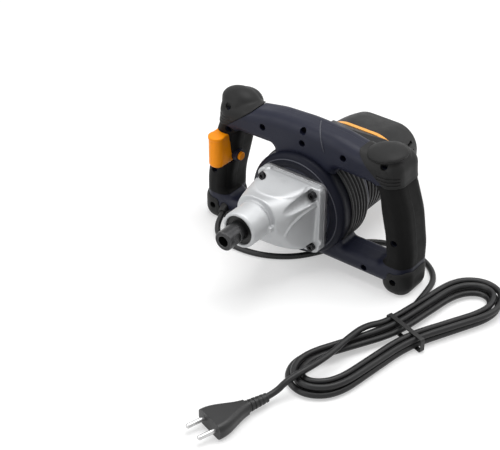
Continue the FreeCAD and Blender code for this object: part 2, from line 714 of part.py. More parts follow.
button = cyl_x(LOCK_R, lock_back_x, LOCK_FACE_X)
crown = [e for e in button.Edges if abs(e.CenterOfMass.x - LOCK_FACE_X) < 1e-6]
button = button.makeFillet(1.2, crown)
button = button.fuse(cyl_x(LOCK_R + LOCK_RIM, lock_back_x, lock_back_x + LOCK_RIM_THICK))
boss = cyl_x(LOCK_BOSS_R, LOCK_BOSS_BACK_X, LOCK_BOSS_FACE_X)
button_way = cyl_x(LOCK_R + SLIDE_GAP, lock_lip_x - 1.0, LOCK_FACE_X + 20.0)
button_back = cyl_x(LOCK_R + LOCK_RIM + SLIDE_GAP, LOCK_BOSS_BACK_X - 0.5, lock_lip_x)
boss_way = cyl_x(LOCK_BOSS_R + SEAM_GAP, LOCK_BOSS_BACK_X - 4.0, LOCK_FACE_X + 20.0)
keep("lock_button", button)
keep("switch_body", switch)
front_shell = front_shell.fuse(boss)

# Openings in the shells and covers
for cutter in wells + [slot, rim_way, button_way, button_back]:
    front_shell = front_shell.cut(cutter)
rear_shell = rear_shell.cut(Part.makeCompound(pilots))
covers[-1] = covers[-1].cut(slot).cut(rim_way).cut(boss_way)

pads = {}
knobs = {}
for side in (-1, 1):
    pad = round_box(min(side * PAD_X0, side * PAD_X1), max(side * PAD_X0, side * PAD_X1), PAD_FRONT_Y,
                    PAD_BACK_Y, PAD_TOP_Z - PAD_DEPTH_Z, PAD_TOP_Z, PAD_R)
    pad = pad.fuse(pad_outer).common(pad_zone(side, 0.0)).cut(cover_inner)
    for index in range(PAD_RIB_COUNT):
        low = PAD_RIB_FIRST_Z + index * PAD_RIB_PITCH
        groove = side_box(side, GRIP_INNER[0][0] + 9.0, REACH_X, -30.0,
                          GRIP_FRONT_Y + 0.5 * GRIP_EDGE_R, low, low + PAD_RIB_WIDE)
        pad = pad.cut(groove.cut(frame_grown))
    pads[side] = max(pad.Solids, key=lambda s: s.Volume)
    knob = round_box(min(side * KNOB_X0, side * KNOB_X1), max(side * KNOB_X0, side * KNOB_X1), KNOB_FRONT_Y,
                     KNOB_BACK_Y, FLOOR_Z - KNOB_FOOT_CUT, KNOB_TOP_Z, KNOB_R)
    knob = knob.common(box(-REACH_X, REACH_X, -60.0, 100.0, FLOOR_Z, KNOB_TOP_Z))
    knobs[side] = knob.cut(frame_grown)
for side in (-1, 1):
    for cutter in wells:
        pads[side] = pads[side].cut(cutter)
        knobs[side] = knobs[side].cut(cutter)
        covers[side] = covers[side].cut(cutter)

# Free cord: guard, lead and hank
cos_h, sin_h = math.cos(HANK_AXIS), math.sin(HANK_AXIS)


def hank_at(along, across, height):
    """Point of the hank from its own axes; height is above the floor."""
    return Vector(HANK_CENTRE[0] + along * cos_h + across * sin_h,
                  HANK_CENTRE[1] + along * sin_h - across * cos_h, FLOOR_Z + height)


LANE_LOW = CORD_R + HANK_LIFT
LEAD_Z = FLOOR_Z + CORD_R + 0.1
LEAD_RUN = ((-78.0, -36.0), (-50.0, -37.0), (-24.0, -30.0), (0.0, -14.0), (16.0, 8.0), (28.0, 34.0),
            (44.0, 57.0),
            (68.0, 72.0), (98.0, 73.0), (124.0, 64.0), (142.5, 45.0), (147.0, 20.0), (149.5, -6.0))
lead_points = [Vector(-106.5, 17.0, -43.5), Vector(-100.0, -16.0, -55.0),
               Vector(-93.0, -29.0, LEAD_Z + 2.0)]
lead_points += [Vector(x, y, LEAD_Z) for x, y in LEAD_RUN]
lead_points += [hank_at(28.0, -HANK_WAIST_HALF - HANK_ENTRY, LANE_LOW),
                hank_at(0.0, -HANK_WAIST_HALF - HANK_ENTRY, LANE_LOW)]
LOOP_STATIONS = ((0.0, 1.0, 0.0), (0.42, 0.52, 0.48), (0.82, 0.0, 0.97), (1.03, 0.0, 0.42),
                 (1.03, 0.0, -0.42), (0.82, 0.0, -0.97), (0.42, -0.52, -0.48))
hank_points = []
steps = 2 * HANK_TURNS * len(LOOP_STATIONS)
half_turns = HANK_TURNS / 2.0
for step in range(steps):
    turn = step / (2.0 * len(LOOP_STATIONS))
    lane = turn if turn < half_turns else HANK_TURNS - turn
    half, spot = divmod(step, len(LOOP_STATIONS))
    reach, by_waist, by_lobe = LOOP_STATIONS[spot]
    waist = HANK_WAIST_HALF - HANK_PITCH * lane
    lobe = HANK_LOBE_HALF - HANK_LOBE_PITCH * lane
    along = reach * (HANK_HALF_LONG - HANK_PITCH * lane)
    across = by_waist * waist + by_lobe * lobe
    climb = min(1.0, max(0.0, (turn - half_turns + 0.25) / 0.5))
    sign = -1.0 if half % 2 == 0 else 1.0
    hank_points.append(hank_at(sign * along, sign * across, LANE_LOW + HANK_LAYER * climb))
hank_points[0] = lead_points[-1]
plug_axis = hank_at(-1.0, 0.0, 0.0) - hank_at(0.0, 0.0, 0.0)
plug_back = hank_at(-HANK_HALF_LONG - 34.0, 0.0, PLUG_HALF_HIGH + 0.1)
top = LANE_LOW + 2.0 * HANK_LAYER
hank_points += [hank_at(0.0, -HANK_WAIST_HALF - 1.6, LANE_LOW + HANK_LAYER),
                hank_at(-26.0, -HANK_WAIST_HALF - 3.0, LANE_LOW + 1.9 * HANK_LAYER),
                hank_at(-53.0, -15.0, top + 0.9), hank_at(-81.0, -6.0, top + 0.4),
                hank_at(-108.0, -1.0, top + 1.0), hank_at(-137.0, 0.0, top - 0.5),
                hank_at(-HANK_HALF_LONG - 25.0, 0.0, PLUG_HALF_HIGH + 0.1), plug_back + plug_axis * 14.0]
lead_wire = rounded_route(lead_points, "cord_lead")
hank_wire = rounded_route(hank_points, "cord_hank")
least_gap(hank_wire, "cord_hank")
print("cord length %.0f" % (lead_wire.Length + hank_wire.Length))
keep("cord_lead", tube(lead_wire, lead_points, "cord_lead"))
keep("cord_hank", tube(hank_wire, hank_points, "cord_hank"))

guard_axis = lead_points[1] - lead_points[0]
guard_axis.normalize()
guard_start = lead_points[0] + guard_axis * GUARD_INSIDE
guard = Part.makeCone(GUARD_BACK_R, GUARD_FRONT_R, GUARD_LONG, guard_start, guard_axis)
guard_hole = Part.makeCylinder(CORD_R + SEAM_GAP, 60.0, lead_points[0] - guard_axis * 20.0, guard_axis)
guard = guard.cut(guard_hole)
guard_way = Part.makeCone(GUARD_BACK_R + SEAM_GAP, GUARD_FRONT_R + SEAM_GAP, GUARD_LONG, guard_start,
                          guard_axis)
guard_way = guard_way.fuse(Part.makeCylinder(GUARD_BACK_R + SEAM_GAP, 30.0, guard_start, guard_axis * -1.0))
front_shell = front_shell.cut(guard_way)
knobs[-1] = knobs[-1].cut(guard_way)
keep("cord_guard", guard)

tie_corners_out = rect_corners(HANK_WAIST_HALF + CORD_R + HANK_ENTRY + 2.4,
                               0.5 * HANK_LAYER + CORD_R + 1.2, 3.0)
tie_corners_in = offset_corners(tie_corners_out, TIE_THICK)
tie = prism_y(tie_corners_out, -0.5 * TIE_WIDE, 0.5 * TIE_WIDE)
tie = tie.cut(prism_y(tie_corners_in, -TIE_WIDE, TIE_WIDE))
tie.rotate(Vector(0, 0, 0), Vector(0, 0, 1), math.degrees(HANK_AXIS) - 90.0)
tie.translate(hank_at(8.0, 0.0, LANE_LOW + 0.5 * HANK_LAYER))
keep("cord_tie", tie)


def plug_section(half_wide, half_high, radius, station):
    """Rounded section of the plug at one station along its axis."""
    return rounded_wire(rect_corners(half_wide, half_high, radius), station)


# Plug: its own axis runs along -Y here, then it is turned to lie in line with the hank
plug = Part.makeLoft([plug_section(PLUG_HALF_WIDE, PLUG_HALF_HIGH, 6.0, -PLUG_BOOT_LONG - PLUG_LONG),
                      plug_section(PLUG_HALF_WIDE - 0.5, PLUG_HALF_HIGH, 6.0,
                                   -PLUG_BOOT_LONG - PLUG_LONG + 8.0),
                      plug_section(10.5, PLUG_HALF_HIGH - 0.6, 6.0, -PLUG_BOOT_LONG - 12.0),
                      plug_section(7.2, 7.0, 5.5, -PLUG_BOOT_LONG)], True)
boot = turned_y([(0.0, 0.0), (4.6, 0.0), (6.4, -PLUG_BOOT_LONG - 1.0), (0.0, -PLUG_BOOT_LONG - 1.0)])
for index in range(PLUG_BOOT_RIBS):
    groove = -PLUG_BOOT_LONG * (index + 0.6) / (PLUG_BOOT_RIBS + 0.4)
    boot = boot.cut(ring_y(9.0, 4.3 + 1.0 * index / PLUG_BOOT_RIBS, groove - 1.1, groove + 1.1))
plug = plug.fuse(boot).cut(cyl_y(CORD_R + SHAFT_FIT, -14.0, 1.0))
face_y = -PLUG_BOOT_LONG - PLUG_LONG
pins = []
for side in (-1, 1):
    pin = cyl_y(PIN_R, face_y - PIN_LONG, face_y + PIN_ROOT, side * PIN_AT, 0.0)
    pin = pin.makeFillet(1.6, [e for e in pin.Edges if abs(e.CenterOfMass.y - face_y + PIN_LONG) < 1e-6])
    pins.append(pin)
    plug = plug.cut(cyl_y(PIN_R + SHAFT_FIT, face_y - 1.0, face_y + PIN_ROOT, side * PIN_AT, 0.0))
for shape in [plug] + pins:
    shape.rotate(Vector(0, 0, 0), Vector(0, 0, 1), math.degrees(HANK_AXIS) - 90.0)
    shape.translate(plug_back)
keep("plug_body", plug)
keep("plug_pins", *pins)

# Cord clamp inside the lower corner of the left grip
clamp = box(-112.0, -98.0, 15.4, 19.0, -49.0, -42.5)
clamp = clamp.cut(guard_hole)
front_shell = front_shell.cut(guard_hole)
keep("cord_clamp", clamp)

keep("frame_front_shell", front_shell)
keep("frame_rear_shell", rear_shell)
for side, word in ((-1, "left"), (1, "right")):
    halves = [covers[side].common(front_half), covers[side].common(rear_half)]
    keep(word + "_grip_cover", *halves)
    keep(word + "_top_pad", pads[side])
    keep(word + "_foot_knob", knobs[side])
keep("handle_screws", *screws)

# Gear case, plates and bolts
corners4 = [(sx * BOLT_AT, sz * BOLT_AT) for sx in (-1, 1) for sz in (-1, 1)]


def hood(grow):
    """Case blank that draws in from the square flange to the round nose."""
    wires = []
    for half_x, low, high, radius, y in HOOD_STATIONS:
        corners = rect_corners(half_x, 0.5 * (high - low), radius, 0.0, 0.5 * (high + low))
        wires.append(rounded_wire(offset_corners(corners, -grow), y))
    return Part.makeLoft(wires, True)


def four_corners(radius, at, y0, y1):
    """Four cylinders along Y at the corners of a square."""
    return Part.makeCompound([cyl_y(radius, y0, y1, sx * at, sz * at) for sx in (-1, 1) for sz in (-1, 1)])


def facet_cut(side):
    """Wedge that leaves a flat flank on the left (-1) or right (+1) of the case."""
    def flank(y, z):
        return FACET_X - FACET_FALL_Y * (FLANGE_FRONT_Y - y) + FACET_FALL_Z * (z - FACET_Z)

    stations = (FLANGE_FRONT_Y + 3.0, CASE_FRONT_Y - 2.0)
    wires = []
    for y in stations:
        points = [(flank(y, -60.0), -60.0), (flank(y, 30.0), 30.0), (70.0, 30.0), (70.0, -60.0)]
        wires.append(Part.makePolygon([Vector(side * x, y, z) for x, z in points + points[:1]]))
    return Part.makeLoft(wires, True, True)


hood_body = hood(0.0)
plateau = Part.makeCylinder(PLATEAU_R, 40.0, Vector(0, PLATEAU_Y, 20.0), Vector(0, 0, 1))
plateau = plateau.fuse(box(-PLATEAU_HALF_X, PLATEAU_HALF_X, PLATEAU_Y + 5.0, FLANGE_FRONT_Y + 2.0, 20.0,
                           60.0))
block = hood_body.fuse(hood(PLATEAU_PROUD).common(plateau))
for side in (-1, 1):
    block = block.cut(facet_cut(side))
block = block.cut(four_corners(POCKET_R, POCKET_AT, CASE_FRONT_Y - 10.0, FLANGE_FRONT_Y))
flange = prism_y(rect_corners(FLANGE_HALF, FLANGE_HALF, FLANGE_CORNER_R), FLANGE_FRONT_Y, FLANGE_BACK_Y)
lugs = [cyl_y(FLANGE_LUG_R, FLANGE_FRONT_Y, FLANGE_FRONT_Y + FLANGE_LUG_THICK, x, z) for x,
        z in FLANGE_LUGS]
nose = turned_y([(0.0, CASE_FRONT_Y + 12.0), (NOSE_R, CASE_FRONT_Y + 12.0), (NOSE_R, CASE_FRONT_Y),
                 (NOSE_NECK_R, CASE_FRONT_Y), (NOSE_NECK_R, CASE_FRONT_Y - NOSE_NECK_LONG),
                 (NOSE_R, CASE_FRONT_Y - NOSE_NECK_LONG), (NOSE_R, NOSE_FACE_Y + 1.5),
                 (NOSE_R - 1.5, NOSE_FACE_Y), (0.0, NOSE_FACE_Y)], 0.0, SPINDLE_Z)
lug = box(NOSE_NECK_R - 2.0, NOSE_R + 2.5, CASE_FRONT_Y - NOSE_NECK_LONG - 3.0, CASE_FRONT_Y + 6.0,
          SPINDLE_Z - 7.0, SPINDLE_Z - 1.0)
case = block.fuse([flange, nose, lug] + lugs)
cavity = box(-ROOM_HALF_X, ROOM_HALF_X, CAVITY_FRONT_Y, INNER_PLATE_Y0 + 1.0, ROOM_BOTTOM_Z, ROOM_TOP_Z)
plate_room = box(-PLATE_HALF_X, PLATE_HALF_X, INNER_PLATE_Y0, FLANGE_FRONT_Y + 1.0, PLATE_BOTTOM_Z,
                 ROOM_TOP_Z)
gear_room = box(-GEAR_ROOM_HALF_X, GEAR_ROOM_HALF_X, FLANGE_FRONT_Y, FLANGE_BACK_Y + 1.0,
                GEAR_ROOM_BOTTOM_Z, ROOM_TOP_Z)
room_corners = four_corners(ROOM_CORNER_R, ROOM_CORNER_AT, -100.0, 0.0)
cavity = cavity.cut(four_corners(DEEP_CORNER_R, ROOM_CORNER_AT, -100.0, 0.0))
gear_room = gear_room.cut(room_corners).fuse(plate_room.cut(room_corners))
case = case.cut(cavity).cut(gear_room)
case = case.cut(cyl_y(NOSE_SEAT_R, NOSE_FACE_Y - 1.0, NOSE_SEAT_Y, 0.0, SPINDLE_Z))
case = case.cut(cyl_y(SPINDLE_BORE_R, NOSE_FACE_Y, CAVITY_FRONT_Y + 1.0, 0.0, SPINDLE_Z))
case = case.cut(cyl_y(IDLER_BUSH_R, CAVITY_FRONT_Y - IDLER_BUSH_LONG, CAVITY_FRONT_Y + 1.0, IDLER_X,
                      IDLER_Z))
for x, z in corners4:
    case = case.cut(cyl_y(BOLT_R + SLIDE_GAP, FLANGE_FRONT_Y - 1.0, FLANGE_BACK_Y + 1.0, x, z))
keep("gear_case", case)

plate = box(-PLATE_HALF_X + SLIDE_GAP, PLATE_HALF_X - SLIDE_GAP, INNER_PLATE_Y0, INNER_PLATE_Y1,
            PLATE_BOTTOM_Z + SLIDE_GAP, ROOM_TOP_Z - SLIDE_GAP)
plate = plate.cut(four_corners(ROOM_CORNER_R + SLIDE_GAP, ROOM_CORNER_AT, -100.0, 0.0))
plate = plate.cut(cyl_y(REAR_BUSH_R, -100.0, 0.0, 0.0, SPINDLE_Z)).cut(cyl_y(7.0, -100.0, 0.0, IDLER_X,
                                                                             IDLER_Z))
keep("inner_plate", plate)

gear_plate = prism_y(rect_corners(FLANGE_HALF, FLANGE_HALF, FLANGE_CORNER_R), FLANGE_BACK_Y,
                     GEAR_PLATE_BACK_Y)
boss_end = FRONT_BEARING[3] + 0.5
gear_plate = gear_plate.fuse(cyl_y(FRONT_BEARING[0] + 3.5, GEAR_PLATE_BACK_Y - 1.0, boss_end))
gear_plate = gear_plate.cut(cyl_y(FRONT_BEARING[0], FRONT_BEARING[2], boss_end + 1.0))
gear_plate = gear_plate.cut(cyl_y(SHAFT_R + 0.8, -40.0, 20.0))
idler_seat_y = FLANGE_BACK_Y + 6.0
gear_plate = gear_plate.cut(cyl_y(IDLER_REAR_BEARING_R, FLANGE_BACK_Y - 1.0, idler_seat_y, IDLER_X,
                                  IDLER_Z))
for x, z in corners4:
    gear_plate = gear_plate.cut(cyl_y(BOLT_R + SLIDE_GAP, -40.0, 20.0, x, z))
keep("gear_plate", gear_plate)

bolts = []
for x, z in corners4:
    bolt = cyl_y(BOLT_HEAD_R, FLANGE_FRONT_Y - BOLT_HEAD_LONG, FLANGE_FRONT_Y, x, z)
    bolt = bolt.fuse(cyl_y(BOLT_R, FLANGE_FRONT_Y - 0.5, FLANGE_FRONT_Y + BOLT_LONG, x, z))
    bolt = bolt.cut(hex_recess(2.3, FLANGE_FRONT_Y - BOLT_HEAD_LONG - 1.0, FLANGE_FRONT_Y - 1.8, x, z))
    bolts.append(bolt)
keep("gear_case_screws", *bolts)

# Gear train and spindle
towards_idler = math.atan2(IDLER_Z, IDLER_X)
towards_spindle = math.atan2(SPINDLE_Z - IDLER_Z, -IDLER_X)
pinion1 = gear_prism(STAGE1_MODULE, STAGE1_PINION_TEETH, PROFILE_SHIFT, TIP_CUT, towards_idler,
                     STAGE1_Y0 - 0.4, STAGE1_Y1 + 0.4, 0.0, 0.0)
gear1 = gear_prism(STAGE1_MODULE, STAGE1_GEAR_TEETH, -PROFILE_SHIFT, 0.0,
                   towards_idler + math.pi + math.pi / STAGE1_GEAR_TEETH, STAGE1_Y0, STAGE1_Y1, IDLER_X,
                   IDLER_Z)
pinion2 = gear_prism(STAGE2_MODULE, STAGE2_PINION_TEETH, PROFILE_SHIFT, TIP_CUT, towards_spindle,
                     STAGE2_Y0 - 1.5, STAGE2_Y1 + 1.0, IDLER_X, IDLER_Z)
gear2 = gear_prism(STAGE2_MODULE, STAGE2_GEAR_TEETH, -PROFILE_SHIFT, 0.0,
                   towards_spindle + math.pi + math.pi / STAGE2_GEAR_TEETH, STAGE2_Y0, STAGE2_Y1, 0.0,
                   SPINDLE_Z)
gear_seat_r = SPINDLE_R - 0.5
keep("output_gear", gear2.cut(cyl_y(gear_seat_r + SHAFT_FIT, -100.0, 0.0, 0.0, SPINDLE_Z)))
idler_gear_r = IDLER_R + 0.6
keep("idler_gear", gear1.cut(cyl_y(idler_gear_r + SHAFT_FIT, -100.0, 0.0, IDLER_X, IDLER_Z)))
idler_front_y = CAVITY_FRONT_Y - IDLER_BUSH_LONG + 0.5
idler = cyl_y(IDLER_R, idler_front_y, STAGE2_Y0 - 1.0, IDLER_X, IDLER_Z).fuse(pinion2)
idler = idler.fuse(cyl_y(idler_gear_r, STAGE2_Y1 + 0.5, FLANGE_BACK_Y - 0.2, IDLER_X, IDLER_Z))
idler = idler.fuse(cyl_y(IDLER_REAR_R, FLANGE_BACK_Y - 1.0, idler_seat_y - 0.2, IDLER_X, IDLER_Z))
keep("idler_shaft", idler)
keep("idler_rear_bearing", bearing(IDLER_REAR_BEARING_R, IDLER_REAR_R, FLANGE_BACK_Y, idler_seat_y - 0.1,
                                   IDLER_X, IDLER_Z))
keep("idler_front_bush", ring_y(IDLER_BUSH_R - SHAFT_FIT, IDLER_R + RUN_FIT,
                                CAVITY_FRONT_Y - IDLER_BUSH_LONG + 0.2, CAVITY_FRONT_Y, IDLER_X, IDLER_Z))

bearing_front_y = NOSE_SEAT_Y - NOSE_BEARING_LONG
spindle = turned_y([(0.0, SPINDLE_TIP_Y), (SPINDLE_HEAD_R - 0.8, SPINDLE_TIP_Y),
                    (SPINDLE_HEAD_R, SPINDLE_TIP_Y + 0.8),
                    (SPINDLE_HEAD_R, bearing_front_y - 0.2), (SPINDLE_R, bearing_front_y - 0.2),
                    (SPINDLE_R, STAGE2_Y0 - 0.1), (gear_seat_r, STAGE2_Y0 - 0.1),
                    (gear_seat_r, STAGE2_Y1 + 0.3),
                    (SPINDLE_STUB_R, STAGE2_Y1 + 0.3), (SPINDLE_STUB_R, INNER_PLATE_Y1 - 0.2),
                    (0.0, INNER_PLATE_Y1 - 0.2)], 0.0, SPINDLE_Z)
drill_end = SPINDLE_TIP_Y + THREAD_LONG
spindle = spindle.cut(turned_y([(0.0, SPINDLE_TIP_Y - 1.0), (THREAD_BORE_R, SPINDLE_TIP_Y - 1.0),
                                (THREAD_BORE_R, drill_end), (0.0, drill_end + 3.0)], 0.0, SPINDLE_Z))
for side in (-1, 1):
    flat = box(0.5 * SPINDLE_FLATS, 30.0, SPINDLE_TIP_Y + 5.0, SPINDLE_TIP_Y + 16.0, SPINDLE_Z - 20.0,
               SPINDLE_Z + 20.0)
    spindle = spindle.cut(flat if side > 0 else flat.mirror(Vector(0, 0, 0), Vector(1, 0, 0)))
keep("spindle", spindle)
keep("spindle_front_bearing", bearing(NOSE_SEAT_R, SPINDLE_R, bearing_front_y, NOSE_SEAT_Y, 0.0, SPINDLE_Z))
keep("spindle_rear_bush", ring_y(REAR_BUSH_R - SHAFT_FIT, SPINDLE_STUB_R + RUN_FIT, INNER_PLATE_Y0,
                                 INNER_PLATE_Y1, 0.0, SPINDLE_Z))
keep("spindle_seal", ring_y(NOSE_SEAT_R - SHAFT_FIT, SPINDLE_HEAD_R + 0.1, NOSE_FACE_Y + 2.5,
                            bearing_front_y - 0.4, 0.0, SPINDLE_Z))

# Motor housing, trim band and rear cap
housing_front_y = GEAR_PLATE_BACK_Y + SEAM_GAP
inner_r = HOUSING_R - HOUSING_WALL


def housing_solid(inset, y0, y1):
    """Round housing whose top and bottom slope down to the height of the rear cap."""
    high, low = HOUSING_R + 1.0 - inset, CAP_FRONT_HALF_Z - inset
    fall = (high - low) / (HOUSING_BACK_Y - HOUSING_TAPER_Y)
    end = low - fall * (y1 - HOUSING_BACK_Y)
    outline = [(y0 - 1.0, -70.0), (HOUSING_TAPER_Y, -70.0), (HOUSING_TAPER_Y, -high), (y1, -end), (y1, end),
               (HOUSING_TAPER_Y, high), (HOUSING_TAPER_Y, 70.0), (y0 - 1.0, 70.0), (y0 - 1.0, -70.0)]
    side = Part.Face(Part.makePolygon([Vector(-90.0, y, z) for y, z in outline]))
    wedge = side.extrude(Vector(180.0, 0, 0))
    return cyl_y(HOUSING_R - inset, y0, y1).common(wedge)


rear_end = housing_solid(0.0, housing_front_y, HOUSING_BACK_Y)
housing = rear_end.cut(housing_solid(HOUSING_WALL, housing_front_y - 1.0, HOUSING_BACK_Y + 1.0))
housing = housing.fuse(ring_y(HOUSING_R, FRONT_BEARING[0] + 3.5 + SEAM_GAP, housing_front_y,
                              housing_front_y + 3.0))
for y in (STATOR_Y0 + 4.0, STATOR_Y1 - 8.0):
    housing = housing.fuse(ring_y(HOUSING_R - 1.0, STATOR_R + SEAM_GAP, y, y + 4.0))
for x, z in corners4:
    post = cyl_y(5.5, housing_front_y, STATOR_Y0 - 3.0, x, z).common(cyl_y(HOUSING_R - 0.5, -40.0, 100.0))
    housing = housing.fuse(post)
cap_screw_spots = [(sx * CAP_SCREW_X, sz * CAP_SCREW_Z) for sx in (-1, 1) for sz in (-1, 1)]
for x, z in cap_screw_spots:
    post = cyl_y(9.0, HOUSING_BACK_Y - 8.0, HOUSING_BACK_Y, x, z)
    post = post.fuse(cyl_y(9.0, HOUSING_BACK_Y - 8.0, HOUSING_BACK_Y, 1.3 * x, 1.3 * z)).common(rear_end)
    post = post.cut(box(-POLE_HALF - 9.0, POLE_HALF + 9.0, 0.0, 200.0, -60.0, 60.0))
    housing = housing.fuse(post)
for x, z in corners4:
    housing = housing.cut(cyl_y(BOLT_R + SHAFT_FIT, -40.0, FLANGE_FRONT_Y + BOLT_LONG + 1.0, x, z))
for x, z in cap_screw_spots:
    housing = housing.cut(cyl_y(SCREW_SHANK_R + SHAFT_FIT, HOUSING_BACK_Y - 9.0, HOUSING_BACK_Y + 1.0,
                                x, z))
for index in range(HOUSING_RIB_COUNT):
    y = HOUSING_RIB_FIRST_Y + index * HOUSING_RIB_PITCH
    housing = housing.cut(ring_y(HOUSING_R + 5.0, HOUSING_R - HOUSING_RIB_DEEP, y, y + HOUSING_RIB_WIDE))
keep("motor_housing", housing)
band_edge = CAP_FRONT_Y - SEAM_GAP
band_out = rect_corners(HOUSING_R + BAND_PROUD, CAP_FRONT_HALF_Z + BAND_PROUD, CAP_CORNER_R + BAND_PROUD)
band_in = offset_corners(band_out, CAP_WALL + BAND_PROUD)
band = prism_y(band_out, HOUSING_BACK_Y + SEAM_GAP, band_edge)
keep("trim_band", band.cut(prism_y(band_in, HOUSING_BACK_Y - 5.0, band_edge + 5.0)))


def cap_solid(inset, back_y, end_r):
    """Rear cap blank: round at its front, a rounded rectangle at its back."""
    mid = 0.5 * (CAP_FRONT_Y + back_y)
    half_x = 0.5 * (HOUSING_R + CAP_END_HALF_X) + 1.0
    half_z = 0.5 * (CAP_FRONT_HALF_Z + CAP_END_HALF_Z) + 1.5
    middle_r = 0.5 * (CAP_CORNER_R + CAP_END_CORNER_R)
    sections = ((HOUSING_R, CAP_FRONT_HALF_Z, CAP_CORNER_R, CAP_FRONT_Y), (half_x, half_z, middle_r, mid),
                (CAP_END_HALF_X, CAP_END_HALF_Z, CAP_END_CORNER_R, back_y))
    wires = [rounded_wire(rect_corners(x - inset, z - inset, r - inset), y) for x, z, r, y in sections]
    blank = Part.makeLoft(wires, True)
    rear = max(blank.Faces, key=lambda f: f.CenterOfMass.y)
    return blank.makeFillet(end_r, rear.Edges)


cap = cap_solid(0.0, CAP_BACK_Y, CAP_END_R)
cap_inner = cap_solid(CAP_WALL, CAP_BACK_Y - CAP_WALL, CAP_END_R - 2.0)
hollow = cap.cut(cap_inner)
bearing_front = REAR_BEARING[2] - 0.5
inner_posts = [cyl_y(REAR_BEARING[0] + 3.5, bearing_front, CAP_BACK_Y - 1.0)]
for x, z in cap_screw_spots:
    inner_posts.append(cyl_y(5.0, CAP_FRONT_Y, CAP_BACK_Y - 1.0, x, z))
cap_shell = hollow.fuse([post.common(cap) for post in inner_posts])
cap_shell = cap_shell.cut(cyl_y(REAR_BEARING[0], bearing_front - 1.0, REAR_BEARING[3] + 0.2))
cap_shell = cap_shell.cut(cyl_y(SHAFT_END_R + 1.0, bearing_front, SHAFT_END_Y + 2.0))
cap_seat_y = CAP_BACK_Y - 17.0
for x, z in cap_screw_spots:
    cap_shell = cap_shell.cut(cyl_y(SCREW_HEAD_R + 0.5, cap_seat_y, CAP_BACK_Y + 5.0, x, z))
    cap_shell = cap_shell.cut(cyl_y(SCREW_SHANK_R + SLIDE_GAP, CAP_FRONT_Y - 1.0, CAP_BACK_Y, x, z))
for index in range(CAP_SLOT_COUNT):
    z = (index - 0.5 * (CAP_SLOT_COUNT - 1)) * CAP_SLOT_PITCH
    for side in (-1, 1):
        cap_shell = cap_shell.cut(side_box(side, CAP_END_HALF_X - 7.0, CAP_END_HALF_X + 10.0,
                                           CAP_SLOT_Y0, CAP_SLOT_Y1,
                                           z - 0.5 * CAP_SLOT_WIDE, z + 0.5 * CAP_SLOT_WIDE))
        cap_shell = cap_shell.cut(side_box(side, REAR_BEARING[0] + 6.0, CAP_END_HALF_X - 19.0,
                                           CAP_BACK_Y - 8.0, CAP_BACK_Y + 5.0, z - 0.5 * CAP_SLOT_WIDE,
                                           z + 0.5 * CAP_SLOT_WIDE))
keep("rear_cap", cap_shell)
cap_screws = []
for x, z in cap_screw_spots:
    screw = cyl_y(SCREW_HEAD_R, cap_seat_y, cap_seat_y + SCREW_HEAD_LONG, x, z)
    screw = screw.fuse(cyl_y(SCREW_SHANK_R, HOUSING_BACK_Y - 7.0, cap_seat_y + 0.5, x, z))
    screw = screw.cut(hex_recess(1.8, cap_seat_y + 1.2, cap_seat_y + SCREW_HEAD_LONG + 1.0, x, z))
    cap_screws.append(screw)
keep("rear_cap_screws", *cap_screws)

# Motor inside the housing
bore = cyl_y(STATOR_BORE_R, 0.0, 120.0)
stator = ring_y(STATOR_R, STATOR_R - YOKE_THICK, STATOR_Y0, STATOR_Y1)
poles = []
coils = []
for side in (-1, 1):
    low_z, high_z = sorted((side * (STATOR_BORE_R - 6.0), side * (STATOR_R - YOKE_THICK + 2.0)))
    poles.append(box(-POLE_HALF, POLE_HALF, STATOR_Y0, STATOR_Y1, low_z, high_z).cut(bore))
    low_z, high_z = sorted((side * (STATOR_BORE_R - 4.0), side * (STATOR_R - YOKE_THICK - 2.0)))
    coil = box(-POLE_HALF - 8.0, POLE_HALF + 8.0, STATOR_Y0 - 6.0, STATOR_Y1 + 6.0, low_z, high_z)
    coil = coil.cut(box(-POLE_HALF - 0.4, POLE_HALF + 0.4, STATOR_Y0 - 0.4, STATOR_Y1 + 0.4, -60.0, 60.0))
    coil = coil.cut(cyl_y(STATOR_BORE_R + 1.0, 0.0, 120.0))
    coils.append(coil.common(cyl_y(STATOR_R - YOKE_THICK - 0.4, 0.0, 120.0)))
stator = stator.fuse(poles)
keep("stator_core", stator)
keep("field_coils", *coils)

shaft = turned_y([(0.0, STAGE1_Y1), (3.4, STAGE1_Y1), (3.4, GEAR_PLATE_BACK_Y),
                  (SHAFT_R, GEAR_PLATE_BACK_Y),
                  (SHAFT_R, COMMUTATOR_Y0 - 2.0), (SHAFT_REAR_R, COMMUTATOR_Y0 - 2.0),
                  (SHAFT_REAR_R, REAR_BEARING[2] - 1.0), (SHAFT_END_R, REAR_BEARING[2] - 1.0),
                  (SHAFT_END_R, SHAFT_END_Y), (0.0, SHAFT_END_Y)])
keep("armature_shaft", shaft.fuse(pinion1))
core = ring_y(CORE_R, SHAFT_R + SHAFT_FIT, CORE_Y0, CORE_Y1)
for index in range(12):
    slot_cut = box(-1.2, 1.2, CORE_Y0 - 1.0, CORE_Y1 + 1.0, CORE_R - 3.0, CORE_R + 1.0)
    slot_cut.rotate(Vector(0, 0, 0), Vector(0, 1, 0), 30.0 * index)
    core = core.cut(slot_cut)
keep("armature_core", core)
heads = []
for y0, y1 in ((CORE_Y0 - 11.0, CORE_Y0), (CORE_Y1, CORE_Y1 + 10.0)):
    head = ring_y(WINDING_R, SHAFT_R + 1.5, y0, y1)
    heads.append(head.makeFillet(3.0, [e for e in head.Edges if abs(e.BoundBox.XLength - 2 * WINDING_R) < 0.1
                                       and abs(e.CenterOfMass.y - (y0 if y0 < CORE_Y0 else y1)) < 1e-6]))
keep("armature_windings", *heads)
commutator = ring_y(COMMUTATOR_R, SHAFT_REAR_R + SHAFT_FIT, COMMUTATOR_Y0, COMMUTATOR_Y1)
